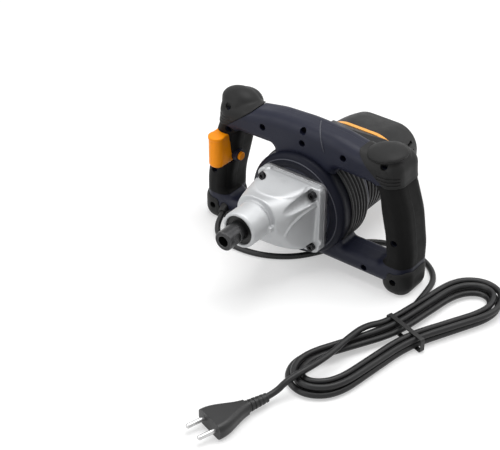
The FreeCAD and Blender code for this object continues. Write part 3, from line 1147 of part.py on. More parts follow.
for index in range(COMMUTATOR_BARS):
    groove = box(-0.3, 0.3, COMMUTATOR_Y0 - 1.0, COMMUTATOR_Y1 + 1.0, COMMUTATOR_R - 0.8,
                 COMMUTATOR_R + 1.0)
    groove.rotate(Vector(0, 0, 0), Vector(0, 1, 0), 360.0 / COMMUTATOR_BARS * index)
    commutator = commutator.cut(groove)
keep("commutator", commutator)
fan = ring_y(FAN_R, SHAFT_R + SHAFT_FIT, FAN_Y1 - 2.0,
             FAN_Y1).fuse(ring_y(11.0, SHAFT_R + SHAFT_FIT, FAN_Y0, FAN_Y1))
for index in range(FAN_BLADES):
    blade = box(-0.9, 0.9, FAN_Y0, FAN_Y1 - 1.0, 14.0, FAN_R - 1.0)
    blade.rotate(Vector(0, 0, 14.0), Vector(0, 1, 0), 25.0)
    blade.rotate(Vector(0, 0, 0), Vector(0, 1, 0), 360.0 / FAN_BLADES * index)
    fan = fan.fuse(blade.common(cyl_y(FAN_R, -20.0, 60.0)))
keep("cooling_fan", fan)
keep("fan_baffle", ring_y(inner_r - SEAM_GAP, BAFFLE_HOLE_R, BAFFLE_Y, BAFFLE_Y + BAFFLE_THICK).cut(
    Part.makeCompound([cyl_y(5.8, -20.0, 60.0, x, z) for x, z in corners4])))
keep("motor_front_bearing", bearing(*FRONT_BEARING))
keep("motor_rear_bearing", bearing(*REAR_BEARING))

# Brush gear
holders = []
brushes = []
half_y, half_z = 0.5 * BRUSH_WIDE, 0.5 * BRUSH_HIGH
brush_plate = ring_y(BRUSH_PLATE_R, COMMUTATOR_R + 4.0, BRUSH_Y + half_y + HOLDER_WALL + SLIDE_GAP,
                     BRUSH_Y + half_y + HOLDER_WALL + 3.0)
brush_plate = brush_plate.cut(Part.makeCompound([cyl_y(5.4, 60.0, 150.0, x, z) for x,
                                                 z in cap_screw_spots]))
for side in (-1, 1):
    x0, x1 = COMMUTATOR_R + 2.0, COMMUTATOR_R + 2.0 + BRUSH_LONG + 4.0
    holder = side_box(side, x0, x1, BRUSH_Y - half_y - HOLDER_WALL, BRUSH_Y + half_y + HOLDER_WALL,
                      -half_z - HOLDER_WALL, half_z + HOLDER_WALL)
    way = side_box(side, x0 - 1.0, x1 - HOLDER_WALL, BRUSH_Y - half_y - SLIDE_GAP,
                   BRUSH_Y + half_y + SLIDE_GAP, -half_z - SLIDE_GAP, half_z + SLIDE_GAP)
    holders.append(holder.cut(way))
    brush = side_box(side, COMMUTATOR_R - 2.0, COMMUTATOR_R + BRUSH_LONG, BRUSH_Y - half_y,
                     BRUSH_Y + half_y, -half_z, half_z)
    brushes.append(brush.cut(cyl_y(COMMUTATOR_R + RUN_FIT, 60.0, 150.0)))
keep("brush_holders", *holders)
keep("carbon_brushes", *brushes)
keep("brush_plate", brush_plate)

# Move every node to the floor frame and write it
for name, solids in NODES.items():
    shape = solids[0] if len(solids) == 1 else Part.makeCompound(solids)
    shape = shape.copy()
    shape.translate(Vector(0, SHIFT_Y, AXIS_HEIGHT))
    if not shape.isValid():
        print("not valid:", name)
    print(name, len(solids), "solids, volume %.0f" % shape.Volume)
    shape.exportStep("parts/%s.step" % name)
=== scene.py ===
"""Looks of the mixing drill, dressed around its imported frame.

Sizes are in millimetres from the motor axis, the tool's own frame, unless a name or comment says
otherwise: x to the right grip, y to the rear cap, z up.
"""
import json
import logging
import math
from collections.abc import Callable
from dataclasses import dataclass
from enum import Enum
from typing import Any, ClassVar

import bmesh
import bpy
from mathutils import Matrix, Vector

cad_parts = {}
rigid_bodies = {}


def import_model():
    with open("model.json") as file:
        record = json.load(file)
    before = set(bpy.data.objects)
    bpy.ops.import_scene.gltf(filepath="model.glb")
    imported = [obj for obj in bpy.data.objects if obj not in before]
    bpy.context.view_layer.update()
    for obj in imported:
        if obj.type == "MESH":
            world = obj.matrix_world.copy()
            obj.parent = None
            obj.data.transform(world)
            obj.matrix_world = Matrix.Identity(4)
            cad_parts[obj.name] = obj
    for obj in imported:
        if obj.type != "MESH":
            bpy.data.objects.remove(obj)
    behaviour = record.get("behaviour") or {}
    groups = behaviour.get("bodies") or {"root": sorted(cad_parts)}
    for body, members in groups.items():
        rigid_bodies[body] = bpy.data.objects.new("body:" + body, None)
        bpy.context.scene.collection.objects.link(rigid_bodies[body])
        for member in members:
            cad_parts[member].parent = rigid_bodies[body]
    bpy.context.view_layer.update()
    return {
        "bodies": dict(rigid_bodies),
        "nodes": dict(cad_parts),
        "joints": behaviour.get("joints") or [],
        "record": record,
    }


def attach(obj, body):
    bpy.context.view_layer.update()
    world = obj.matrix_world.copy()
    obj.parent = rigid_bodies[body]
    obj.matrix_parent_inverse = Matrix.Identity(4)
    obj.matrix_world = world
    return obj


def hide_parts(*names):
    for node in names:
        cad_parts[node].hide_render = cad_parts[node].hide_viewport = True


LOG = logging.getLogger("mixing_drill")

Colour = tuple[float, float, float]
Point = tuple[float, float, float]
Pair = tuple[float, float]
Profile = list[Pair]
Shape = bmesh.types.BMesh
Object = bpy.types.Object
Tree = bpy.types.NodeTree
Socket = bpy.types.NodeSocket

MM = 0.001
MM_PER_METRE = 1000.0
AXIS_HEIGHT = 69.0 * MM
SHIFT_Y = -15.0 * MM
MERGE = 0.002 * MM
DOWN = Vector((0.0, 0.0, -1.0))
QUARTER_TURN = 0.5 * math.pi
FULL_TURN = 2.0 * math.pi
ROD_SIDES = 32
BALL_SIDES = 72
BALL_RINGS = 36
SMOOTH_SHARE = 0.5
HOUSING_BODY = "housing"


def tool_point(x: float, y: float, z: float) -> Vector:
    """Turn millimetres from the motor axis into metres of the frame.

    Args:
        x: Millimetres to the right grip.
        y: Millimetres towards the rear cap.
        z: Millimetres above the motor axis.

    Returns:
        The point in the frame.
    """
    return Vector((x * MM, y * MM + SHIFT_Y, z * MM + AXIS_HEIGHT))


class Slot(Enum):
    """Material slots passed along with the added pieces."""

    SHELL = "shell"
    PAD = "pad"
    HOUSING = "housing"
    CAST_ALLOY = "cast_alloy"
    CORD_RUBBER = "cord_rubber"


class Grain(Enum):
    """How a surface is textured."""

    FINE = "fine"
    STIPPLE = "stipple"
    CAST = "cast"
    TURNED = "turned"


class Noise(Enum):
    """Noises of every finish: size of one blotch in millimetres, and octaves."""

    TONE = (22.0, 3.0)
    GLOSS = (9.0, 2.0)
    # Breaks up the edge lightening, which is partly wear and partly painted highlight.
    RUB = (5.0, 4.0)


@dataclass(frozen=True)
class Finish:
    """Procedural surface: a colour and a roughness that drift, a grain, and lighter edges that are
    partly rubbed wear and partly painted highlight.

    The grain's size and depth and the edge's radius are in millimetres. The class values are the
    same for every finish.
    """

    name: str
    colour: Colour
    drift: Colour
    roughness: float
    metallic: float = 0.0
    grain: Grain = Grain.FINE
    grain_size: float = 0.6
    grain_depth: float = 0.08
    edge: float = 0.0
    # Edges lighten towards the next colour: partly rubbed wear, partly a painted highlight.
    wear_and_glint: float = 0.0
    rubbed_and_glint: Colour = (0.2, 0.2, 0.2)
    sheen: float = 0.0
    specular: float = 0.5

    noise_roughness: ClassVar[float] = 0.55
    gloss_band: ClassVar[Pair] = (0.25, 0.75)
    gloss_spread: ClassVar[float] = 0.06
    edge_samples: ClassVar[int] = 6
    edge_band: ClassVar[Pair] = (0.995, 0.93)
    bump_strength: ClassVar[float] = 0.35
    turned_scale: ClassVar[Point] = (0.05, 1.0, 0.05)
    cast_octaves: ClassVar[float] = 5.0
    fine_octaves: ClassVar[float] = 2.0

    def build(self) -> bpy.types.Material:
        """Make the material.

        Returns:
            The node material.
        """
        material = bpy.data.materials.new(self.name)
        material.use_nodes = True
        tree = material.node_tree
        shader = tree.nodes["Principled BSDF"]
        shader.inputs["Metallic"].default_value = self.metallic
        shader.inputs["Sheen Weight"].default_value = self.sheen
        shader.inputs["Specular IOR Level"].default_value = self.specular
        coords = tree.nodes.new("ShaderNodeTexCoord").outputs["Object"]
        self._link_colour(tree, coords, shader)
        self._link_roughness(tree, coords, shader)
        self._link_grain(tree, coords, shader)
        return material

    def _noise(self, tree: Tree, coords: Socket, size: float, octaves: float) -> Socket:
        """Add a noise of one blotch size.

        Args:
            tree: Node tree that takes the noise.
            coords: Coordinates that the noise reads.
            size: Size of one blotch in millimetres.
            octaves: Octaves of finer noise.

        Returns:
            The noise value.
        """
        noise = tree.nodes.new("ShaderNodeTexNoise")
        noise.inputs["Scale"].default_value = MM_PER_METRE / size
        noise.inputs["Detail"].default_value = octaves
        noise.inputs["Roughness"].default_value = self.noise_roughness
        tree.links.new(coords, noise.inputs["Vector"])
        return noise.outputs["Fac"]

    def _soft_normal(self, tree: Tree) -> Socket:
        """Add a normal that turns smoothly round the edges.

        Args:
            tree: Node tree that takes it.

        Returns:
            The softened normal.
        """
        soft = tree.nodes.new("ShaderNodeBevel")
        soft.samples = self.edge_samples
        soft.inputs["Radius"].default_value = self.edge * MM
        return soft.outputs["Normal"]

    def _wear_and_glint_mask(self, tree: Tree, coords: Socket) -> Socket:
        """Find the edges that are lightened, partly where hands and floors rub and partly as a
        painted highlight, broken up by a noise.

        Args:
            tree: Node tree that takes the mask.
            coords: Coordinates that the noise reads.

        Returns:
            A factor up to the finish's edge lightening, as wear and as painted highlight.
        """
        turn = tree.nodes.new("ShaderNodeVectorMath")
        turn.operation = "DOT_PRODUCT"
        flat = tree.nodes.new("ShaderNodeNewGeometry").outputs["Normal"]
        tree.links.new(self._soft_normal(tree), turn.inputs[0])
        tree.links.new(flat, turn.inputs[1])
        edge = tree.nodes.new("ShaderNodeMapRange")
        edge.inputs["From Min"].default_value = self.edge_band[0]
        edge.inputs["From Max"].default_value = self.edge_band[1]
        edge.inputs["To Max"].default_value = self.wear_and_glint
        tree.links.new(turn.outputs["Value"], edge.inputs["Value"])
        broken = tree.nodes.new("ShaderNodeMath")
        broken.operation = "MULTIPLY"
        tree.links.new(edge.outputs["Result"], broken.inputs[0])
        tree.links.new(self._noise(tree, coords, *Noise.RUB.value), broken.inputs[1])
        return broken.outputs["Value"]

    def _link_colour(self, tree: Tree, coords: Socket, shader: bpy.types.Node) -> None:
        """Let the colour drift between two tones, lighter at the edges as rubbed wear and as a
        painted highlight.

        Args:
            tree: Node tree of the material.
            coords: Coordinates that the noise reads.
            shader: Shader that takes the colour.
        """
        mix = tree.nodes.new("ShaderNodeMix")
        mix.data_type = "RGBA"
        mix.inputs["A"].default_value = (*self.colour, 1.0)
        mix.inputs["B"].default_value = (*self.drift, 1.0)
        tree.links.new(self._noise(tree, coords, *Noise.TONE.value), mix.inputs["Factor"])
        tone = mix.outputs["Result"]
        if self.wear_and_glint > 0.0:
            rub_and_glint = tree.nodes.new("ShaderNodeMix")
            rub_and_glint.data_type = "RGBA"
            rub_and_glint.inputs["B"].default_value = (*self.rubbed_and_glint, 1.0)
            tree.links.new(self._wear_and_glint_mask(tree, coords), rub_and_glint.inputs["Factor"])
            tree.links.new(tone, rub_and_glint.inputs["A"])
            tone = rub_and_glint.outputs["Result"]
        tree.links.new(tone, shader.inputs["Base Color"])

    def _link_roughness(self, tree: Tree, coords: Socket, shader: bpy.types.Node) -> None:
        """Let the roughness drift about its mean.

        Args:
            tree: Node tree of the material.
            coords: Coordinates that the noise reads.
            shader: Shader that takes the roughness.
        """
        spread = tree.nodes.new("ShaderNodeMapRange")
        spread.inputs["From Min"].default_value = self.gloss_band[0]
        spread.inputs["From Max"].default_value = self.gloss_band[1]
        spread.inputs["To Min"].default_value = self.roughness - self.gloss_spread
        spread.inputs["To Max"].default_value = self.roughness + self.gloss_spread
        tree.links.new(self._noise(tree, coords, *Noise.GLOSS.value), spread.inputs["Value"])
        tree.links.new(spread.outputs["Result"], shader.inputs["Roughness"])

    def _link_grain(self, tree: Tree, coords: Socket, shader: bpy.types.Node) -> None:
        """Add the grain as a bump, over softened edges where the finish has them.

        Args:
            tree: Node tree of the material.
            coords: Coordinates that the grain reads.
            shader: Shader that takes the normal.
        """
        bump = tree.nodes.new("ShaderNodeBump")
        bump.inputs["Strength"].default_value = self.bump_strength
        bump.inputs["Distance"].default_value = self.grain_depth * MM
        if self.grain is Grain.TURNED:
            mapping = tree.nodes.new("ShaderNodeMapping")
            mapping.inputs["Scale"].default_value = self.turned_scale
            tree.links.new(coords, mapping.inputs["Vector"])
            coords = mapping.outputs["Vector"]
        if self.grain is Grain.STIPPLE:
            cells = tree.nodes.new("ShaderNodeTexVoronoi")
            cells.inputs["Scale"].default_value = MM_PER_METRE / self.grain_size
            tree.links.new(coords, cells.inputs["Vector"])
            height = cells.outputs["Distance"]
        else:
            octaves = self.cast_octaves if self.grain is Grain.CAST else self.fine_octaves
            height = self._noise(tree, coords, self.grain_size, octaves)
        tree.links.new(height, bump.inputs["Height"])
        if self.edge > 0.0:
            tree.links.new(self._soft_normal(tree), bump.inputs["Normal"])
        tree.links.new(bump.outputs["Normal"], shader.inputs["Normal"])


SHELL = Finish("navy_shell", (0.0080, 0.0094, 0.0205), (0.0105, 0.0122, 0.026), 0.44,
               grain_size=0.5, edge=0.8, wear_and_glint=0.25, rubbed_and_glint=(0.05, 0.055, 0.07), specular=0.22)
# Darker than the shell: painted shade over the collar, under the top bar.
COLLAR_SHADE = Finish("painted_shade_collar", (0.0040, 0.0047, 0.0105), (0.0054, 0.0063, 0.0135), 0.46,
                grain_size=0.5, specular=0.12)
# Lighter navy than the shell: painted highlight along the raised seam and the collar's bead.
HIGHLIGHT_LINE = Finish("painted_highlight_line", (0.040, 0.042, 0.056), (0.050, 0.052, 0.068), 0.40, edge=0.4,
              specular=0.4)
GRIP = Finish("soft_grip", (0.0040, 0.0040, 0.0040), (0.0060, 0.0060, 0.0060), 0.60,
              grain=Grain.STIPPLE, grain_size=0.9, grain_depth=0.12, edge=0.6, specular=0.10,
              sheen=0.02)
PAD = Finish("corner_rubber", (0.0085, 0.0085, 0.0085), (0.0120, 0.0120, 0.0120), 0.52,
             grain_size=0.4, edge=0.8, wear_and_glint=0.2, rubbed_and_glint=(0.06, 0.06, 0.06), specular=0.20)
RIBBED = Finish("ribbed_housing", (0.016, 0.016, 0.017), (0.022, 0.022, 0.023), 0.5, edge=0.5,
                specular=0.18)
SLEEVE = Finish("ribbed_sleeve", (0.026, 0.026, 0.027), (0.034, 0.034, 0.035), 0.5, edge=0.4,
                specular=0.3)
CAP = Finish("rear_cap_plastic", (0.0100, 0.0100, 0.0102), (0.0145, 0.0145, 0.0148), 0.46,
             grain_size=0.45, edge=1.0, wear_and_glint=0.2, rubbed_and_glint=(0.07, 0.07, 0.07), specular=0.22)
ORANGE = Finish("orange_plastic", (0.98, 0.295, 0.002), (1.0, 0.325, 0.003), 0.40,
                grain_size=0.5, grain_depth=0.04, edge=0.6, wear_and_glint=0.15, rubbed_and_glint=(0.9, 0.5, 0.2),
                specular=0.2)
BAND = Finish("orange_band", (0.86, 0.38, 0.06), (0.9, 0.42, 0.08), 0.34, grain_size=0.5,
              grain_depth=0.04, edge=0.4)
ALLOY = Finish("cast_alloy", (0.50, 0.51, 0.52), (0.56, 0.57, 0.58), 0.46, metallic=0.35,
               grain=Grain.CAST, grain_size=1.1, grain_depth=0.14, edge=1.2, wear_and_glint=0.3,
               rubbed_and_glint=(0.85, 0.85, 0.85))
PLATE = Finish("machined_plate", (0.52, 0.52, 0.53), (0.60, 0.60, 0.61), 0.36, metallic=0.85,
               grain=Grain.TURNED, edge=0.5)
BLACKENED = Finish("blackened_steel", (0.012, 0.012, 0.013), (0.022, 0.022, 0.024), 0.34,
                   metallic=0.5, grain=Grain.TURNED, grain_size=0.4, grain_depth=0.05, edge=0.5,
                   wear_and_glint=0.35, rubbed_and_glint=(0.25, 0.25, 0.25), specular=0.4)
# Its strong edge lightening paints the highlights of the spindle's rims.
SPINDLE = Finish("spindle_steel", (0.030, 0.030, 0.031), (0.045, 0.045, 0.047), 0.30,
                 metallic=0.8, grain=Grain.TURNED, grain_size=0.5, grain_depth=0.05, edge=0.6,
                 wear_and_glint=0.6, rubbed_and_glint=(0.4, 0.4, 0.4))
STEEL = Finish("turned_steel", (0.50, 0.50, 0.50), (0.58, 0.58, 0.58), 0.28, metallic=1.0,
               grain=Grain.TURNED, grain_size=0.5, grain_depth=0.03, edge=0.3)
CORE = Finish("stacked_steel", (0.22, 0.22, 0.23), (0.30, 0.30, 0.31), 0.42, metallic=0.9,
              grain=Grain.TURNED, grain_size=0.7, grain_depth=0.1)
COPPER = Finish("copper_wire", (0.62, 0.26, 0.11), (0.70, 0.33, 0.15), 0.34, metallic=0.9,
                grain=Grain.CAST, grain_size=1.2, grain_depth=0.2)
BRONZE = Finish("sintered_bronze", (0.45, 0.30, 0.13), (0.55, 0.38, 0.18), 0.42, metallic=0.9)
INSULATOR = Finish("dark_moulding", (0.04, 0.04, 0.042), (0.06, 0.06, 0.062), 0.5)
CARBON = Finish("pressed_carbon", (0.02, 0.02, 0.02), (0.032, 0.032, 0.032), 0.55,
                grain=Grain.CAST)
SEAL = Finish("oil_seal", (0.008, 0.008, 0.008), (0.012, 0.012, 0.012), 0.42, specular=0.3)
CORD = Finish("cord_sheath", (0.006, 0.006, 0.0065), (0.010, 0.010, 0.0105), 0.42,
              grain_size=0.8, grain_depth=0.05, specular=0.35)
PLUG = Finish("plug_moulding", (0.008, 0.008, 0.0085), (0.012, 0.012, 0.0125), 0.40,
              grain_size=0.5, edge=0.6, specular=0.4)
TIE = Finish("tie_strap", (0.010, 0.010, 0.010), (0.016, 0.016, 0.016), 0.45, specular=0.4)


class Wardrobe:
    """Keeps one material for each finish."""

    def __init__(self) -> None:
        """Start with no materials."""
        self._made: dict[str, bpy.types.Material] = {}

    def material(self, finish: Finish) -> bpy.types.Material:
        """Give the material of a finish.

        Args:
            finish: The finish.

        Returns:
            Its material, made on first use.
        """
        if finish.name not in self._made:
            self._made[finish.name] = finish.build()
        return self._made[finish.name]


def merged_copy(node: Object) -> Shape:
    """Copy a node's mesh with its loose triangles joined.

    Args:
        node: Object of the node.

    Returns:
        The copy.
    """
    shape = bmesh.new()
    shape.from_mesh(node.data)
    bmesh.ops.remove_doubles(shape, verts=shape.verts, dist=MERGE)
    return shape


def cut_away(shape: Shape, place: Vector, towards: Vector) -> None:
    """Cut a shape with a plane and drop what lies beyond it.

    Args:
        shape: Shape to cut.
        place: Point of the plane, in metres.
        towards: Direction of the side that is dropped.
    """
    bmesh.ops.bisect_plane(shape, geom=shape.verts[:] + shape.edges[:] + shape.faces[:],
                           dist=MERGE, plane_co=place, plane_no=towards.normalized(),
                           clear_outer=True)


def keep_outside(shape: Shape, middle: Vector) -> None:
    """Drop the faces of a hollow wall that look towards its middle.

    Args:
        shape: Wall to clean.
        middle: Point inside it, in metres.
    """
    shape.normal_update()
    inner = [face for face in shape.faces
             if face.normal.dot(face.calc_center_median() - middle) < 0.0]
    bmesh.ops.delete(shape, geom=inner, context="FACES")


def open_edges(shape: Shape) -> list[bmesh.types.BMEdge]:
    """Give the edges round a shape's openings."""
    return [edge for edge in shape.edges if edge.is_boundary]


def add_rod(shape: Shape, start: Point, end: Point, radius: float) -> None:
    """Add a closed round rod to a shape.

    Args:
        shape: Shape that takes it.
        start: Middle of one end, in millimetres.
        end: Middle of the other end.
        radius: Its radius in millimetres.
    """
    low, high = tool_point(*start), tool_point(*end)
    turn = (high - low).to_track_quat("Z", "Y").to_matrix().to_4x4()
    place = Matrix.Translation(0.5 * (low + high)) @ turn
    bmesh.ops.create_cone(shape, cap_ends=True, segments=ROD_SIDES, radius1=radius * MM,
                          radius2=radius * MM, depth=(high - low).length, matrix=place)


def turned(profile: Profile, steps: int) -> Shape:
    """Spin a closed profile round the motor axis.

    Args:
        profile: Radius and place along the axis of each corner, in millimetres.
        steps: Steps of the full turn.

    Returns:
        The turned ring.
    """
    shape = bmesh.new()
    corners = [shape.verts.new(tool_point(radius, along, 0.0)) for radius, along in profile]
    loop = [shape.edges.new(pair) for pair in zip(corners, corners[1:] + corners[:1])]
    bmesh.ops.spin(shape, geom=corners + loop, cent=tool_point(0.0, 0.0, 0.0),
                   axis=(0.0, 1.0, 0.0), angle=FULL_TURN, steps=steps, use_merge=True)
    bmesh.ops.recalc_face_normals(shape, faces=shape.faces)
    return shape


def loose_object(shape: Shape) -> Object:
    """Hold a shape in an object for a while.

    Args:
        shape: Shape, used up.

    Returns:
        The object.
    """
    mesh = bpy.data.meshes.new("loose")
    shape.to_mesh(mesh)
    shape.free()
    loose = bpy.data.objects.new("loose", mesh)
    bpy.context.scene.collection.objects.link(loose)
    return loose


def reshaped(shape: Shape, prepare: Callable[[Object], None]) -> Shape:
    """Run a shape through modifiers.

    Args:
        shape: Shape, used up.
        prepare: Adds the modifiers to the object that holds the shape.

    Returns:
        The new shape.
    """
    blank = loose_object(shape)
    prepare(blank)
    bpy.context.view_layer.update()
    finished = blank.evaluated_get(bpy.context.evaluated_depsgraph_get())
    skin = bpy.data.meshes.new_from_object(finished)
    result = bmesh.new()
    result.from_mesh(skin)
    for mesh in (blank.data, skin):
        bpy.data.meshes.remove(mesh)
    return result


def drilled(shape: Shape, start: Point, end: Point, radius: float) -> Shape:
    """Drill a round hole into a closed shape.

    Args:
        shape: Closed shape, used up.
        start: Bottom of the hole, in millimetres.
        end: Point of its axis outside the shape.
        radius: Radius of the hole in millimetres.

    Returns:
        The drilled shape.
    """
    drill = bmesh.new()
    add_rod(drill, start, end, radius)
    cutter = loose_object(drill)

    def cut(blank: Object) -> None:
        """Add the cut to an object.

        Args:
            blank: Object that is drilled.
        """
        hole = blank.modifiers.new("hole", "BOOLEAN")
        hole.operation = "DIFFERENCE"
        hole.object = cutter

    result = reshaped(shape, cut)
    bpy.data.meshes.remove(cutter.data)
    return result


def smooth(shape: Shape, verts: list[bmesh.types.BMVert], passes: int) -> None:
    """Even out some corners of a skin.

    Args:
        shape: The skin.
        verts: Its corners that are moved.
        passes: Smoothing passes.
    """
    for _ in range(passes):
        bmesh.ops.smooth_vert(shape, verts=verts, factor=SMOOTH_SHARE, use_axis_x=True,
                              use_axis_y=True, use_axis_z=True)


def softened(shape: Shape, voxel: float, passes: int) -> Shape:
    """Round every edge of a closed shape as a cast skin has them.

    Args:
        shape: Closed shape, used up.
        voxel: Grid of the new skin in millimetres.
        passes: Smoothing passes.

    Returns:
        The softened shape.
    """
    def grid(blank: Object) -> None:
        """Add the new grid to an object.

        Args:
            blank: Object that is meshed anew.
        """
        mesher = blank.modifiers.new("grid", "REMESH")
        mesher.mode = "VOXEL"
        mesher.voxel_size = voxel * MM

    soft = reshaped(shape, grid)
    smooth(soft, soft.verts[:], passes)
    return soft


@dataclass
class SubAssembly:
    """Nodes that come off the bench together, and the finish of each."""

    wardrobe: Wardrobe
    frame: dict[str, Any]

    def finishes(self) -> dict[str, Finish]:
        """Give the finish of each node."""
        return {}

    def node(self, name: str) -> Object:
        """Give a node's object."""
        return self.frame["nodes"][name]

    def build(self) -> None:
        """Dress the nodes."""
        self.dress()

    def dress(self) -> None:
        """Give every node of the sub-assembly its finish."""
        for name, finish in self.finishes().items():
            materials = self.node(name).data.materials
            materials.clear()
            materials.append(self.wardrobe.material(finish))
            LOG.info("node %s dressed as %s", name, finish.name)

    def add(self, name: str, shape: Shape, finish: Finish, slot: Slot) -> Object:
        """Turn a shape into a piece that rides on the housing.

        Args:
            name: Name of the piece.
            shape: Its shape, used up.
            finish: Its finish.
            slot: Not used.

        Returns:
            The piece.
        """
        mesh = bpy.data.meshes.new(name)
        shape.to_mesh(mesh)
        shape.free()
        mesh.shade_smooth()
        mesh.materials.append(self.wardrobe.material(finish))
        piece = bpy.data.objects.new(name, mesh)
        bpy.context.scene.collection.objects.link(piece)
        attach(piece, HOUSING_BODY)
        LOG.info("piece %s has %d faces", name, len(mesh.polygons))
        return piece


@dataclass
class HandleFrame(SubAssembly):
    """Ring handle: two shells, grip covers, corner pads and feet."""

    # Raised line of the top bar: a slice across the bar, lifted off its outside, in a lighter
    # colour that paints its highlight.
    seam_at: Point = (20.0, 2.0, 87.0)
    seam_across: Point = (0.829, 0.482, 0.283)
    seam_wide: float = 1.3
    seam_proud: float = 0.45
    seam_low: float = 71.0
    bar_axis: Pair = (16.0, 76.0)
    # Dome of the left pad, blended into the pad behind and above blend_from.
    dome_at: Point = (-96.0, 19.2, 81.0)
    dome_half: Point = (22.7, 16.7, 14.3)
    dome_grid: float = 0.55
    dome_passes: int = 4
    blend_from: Pair = (3.0, 60.0)
    blend_passes: int = 90
    # Crown of the right pad: half sizes, rise per millimetre of x and y, and its skirt's steps
    # as drop in millimetres and share of the width.
    crown_at: Point = (92.0, 16.2, 86.0)
    crown_half: Point = (22.0, 18.7, 5.6)
    crown_rise: Pair = (0.12, 0.10)
    crown_skirt: tuple[Pair, ...] = ((1.0, 1.0), (5.5, 0.78))
    crown_edge: float = 0.6
    crown_edge_steps: int = 3

    def finishes(self) -> dict[str, Finish]:
        """Give the finish of each node."""
        return {"frame_front_shell": SHELL, "frame_rear_shell": SHELL,
                "left_grip_cover": GRIP, "right_grip_cover": GRIP,
                "left_top_pad": PAD, "right_top_pad": PAD,
                "left_foot_knob": PAD, "right_foot_knob": PAD,
                "handle_screws": BLACKENED}

    def build(self) -> None:
        """Dress the nodes, add the raised seam of the top bar and the crowns of the pads."""
        self.dress()
        self._bar_seam()
        self._full_left_pad()
        self._right_crown()

    def _bar_seam(self) -> None:
        """Raise the moulded line where the top bar swells towards the right grip, coloured lighter
        as a painted highlight.
        """
        shape = merged_copy(self.node("frame_front_shell"))
        across = Vector(self.seam_across)
        for side in (-1.0, 1.0):
            edge = Vector(self.seam_at) + across * (0.5 * side * self.seam_wide)
            cut_away(shape, tool_point(*edge), across * side)
        cut_away(shape, tool_point(0.0, 0.0, self.seam_low), DOWN)
        keep_outside(shape, tool_point(self.seam_at[0], *self.bar_axis))
        bmesh.ops.solidify(shape, geom=shape.faces[:], thickness=-self.seam_proud * MM)
        bmesh.ops.recalc_face_normals(shape, faces=shape.faces)
        self.add("bar_seam", shape, HIGHLIGHT_LINE, Slot.SHELL)

    def _full_left_pad(self) -> None:
        """Round the left pad's outer corner up into a dome."""
        shape = merged_copy(self.node("left_top_pad"))
        place = Matrix.LocRotScale(tool_point(*self.dome_at), None, Vector(self.dome_half))
        bmesh.ops.create_uvsphere(shape, u_segments=BALL_SIDES, v_segments=BALL_RINGS, radius=MM,
                                  matrix=place)
        skin = softened(shape, self.dome_grid, self.dome_passes)
        corner = tool_point(0.0, *self.blend_from)
        blend = [vert for vert in skin.verts
                 if vert.co.y > corner.y and vert.co.z > corner.z]
        smooth(skin, blend, self.blend_passes)
        pad = self.add("moulded_left_pad", skin, PAD, Slot.PAD)
        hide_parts("left_top_pad")

    def _right_crown(self) -> None:
        """Raise the smooth crown of the right pad, with a lip over the pad's front."""
        shape = bmesh.new()
        bmesh.ops.create_uvsphere(shape, u_segments=BALL_SIDES, v_segments=BALL_RINGS, radius=1.0)
        cut_away(shape, Vector(), DOWN)
        bmesh.ops.scale(shape, verts=shape.verts, vec=Vector(self.crown_half) * MM)
        rim = open_edges(shape)
        for drop, share in self.crown_skirt:
            skirt = bmesh.ops.extrude_edge_only(shape, edges=open_edges(shape))["geom"]
            low = [part for part in skirt if isinstance(part, bmesh.types.BMVert)]
            bmesh.ops.translate(shape, verts=low, vec=DOWN * drop * MM)
            bmesh.ops.scale(shape, verts=low, vec=(share, share, 1.0))
        bmesh.ops.holes_fill(shape, edges=open_edges(shape))
        bmesh.ops.bevel(shape, geom=rim, offset=self.crown_edge * MM,
                        segments=self.crown_edge_steps, profile=0.5, affect="EDGES", material=-1)
        bmesh.ops.recalc_face_normals(shape, faces=shape.faces)
        lean = Matrix.Identity(4)
        lean[2][0], lean[2][1] = self.crown_rise
        lean.translation = tool_point(*self.crown_at)
        bmesh.ops.transform(shape, matrix=lean, verts=shape.verts)
        self.add("right_pad_crown", shape, PAD, Slot.PAD)


@dataclass
class SwitchGroup(SubAssembly):
    """Trigger, lock button and the switch behind them."""

    def finishes(self) -> dict[str, Finish]:
        """Give the finish of each node."""
        return {"trigger": ORANGE, "lock_button": ORANGE,
                "switch_body": INSULATOR, "switch_plunger": INSULATOR}


@dataclass
class Gearbox(SubAssembly):
    """Cast gear case with its gears, bearings and spindle."""

    cast_grid: float = 0.75
    cast_passes: int = 5
    rib_radius: float = 1.7
    rib: tuple[Point, ...] = (
        (36.0, -25.0, 21.0), (34.6, -35.6, 20.3), (32.8, -46.9, 18.8), (31.5, -54.4, 16.2),
        (30.3, -60.5, 12.8), (29.4, -65.0, 8.8), (28.6, -67.7, 3.7))
    screw_pocket: tuple[Point, Point] = ((-31.5, -28.6, 32.5), (-15.5, -49.5, 50.5))
    pocket_radius: float = 4.8

    def finishes(self) -> dict[str, Finish]:
        """Give the finish of each node."""
        return {"gear_case": ALLOY, "gear_plate": PLATE, "inner_plate": PLATE,
                "gear_case_screws": BLACKENED, "spindle": SPINDLE, "spindle_seal": SEAL,
                "spindle_rear_bush": BRONZE, "idler_front_bush": BRONZE,
                "output_gear": STEEL, "idler_shaft": STEEL, "idler_gear": STEEL,
                "idler_rear_bearing": STEEL, "spindle_front_bearing": STEEL}

    def build(self) -> None:
        """Dress the nodes and cast the case: an open screw pocket, a rib and soft edges."""
        self.dress()
        blank = merged_copy(self.node("gear_case"))
        shape = drilled(blank, *self.screw_pocket, self.pocket_radius)
        for start, end in zip(self.rib, self.rib[1:]):
            add_rod(shape, start, end, self.rib_radius)
        skin = softened(shape, self.cast_grid, self.cast_passes)
        case = self.add("cast_gear_case", skin, ALLOY, Slot.CAST_ALLOY)
        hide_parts("gear_case")


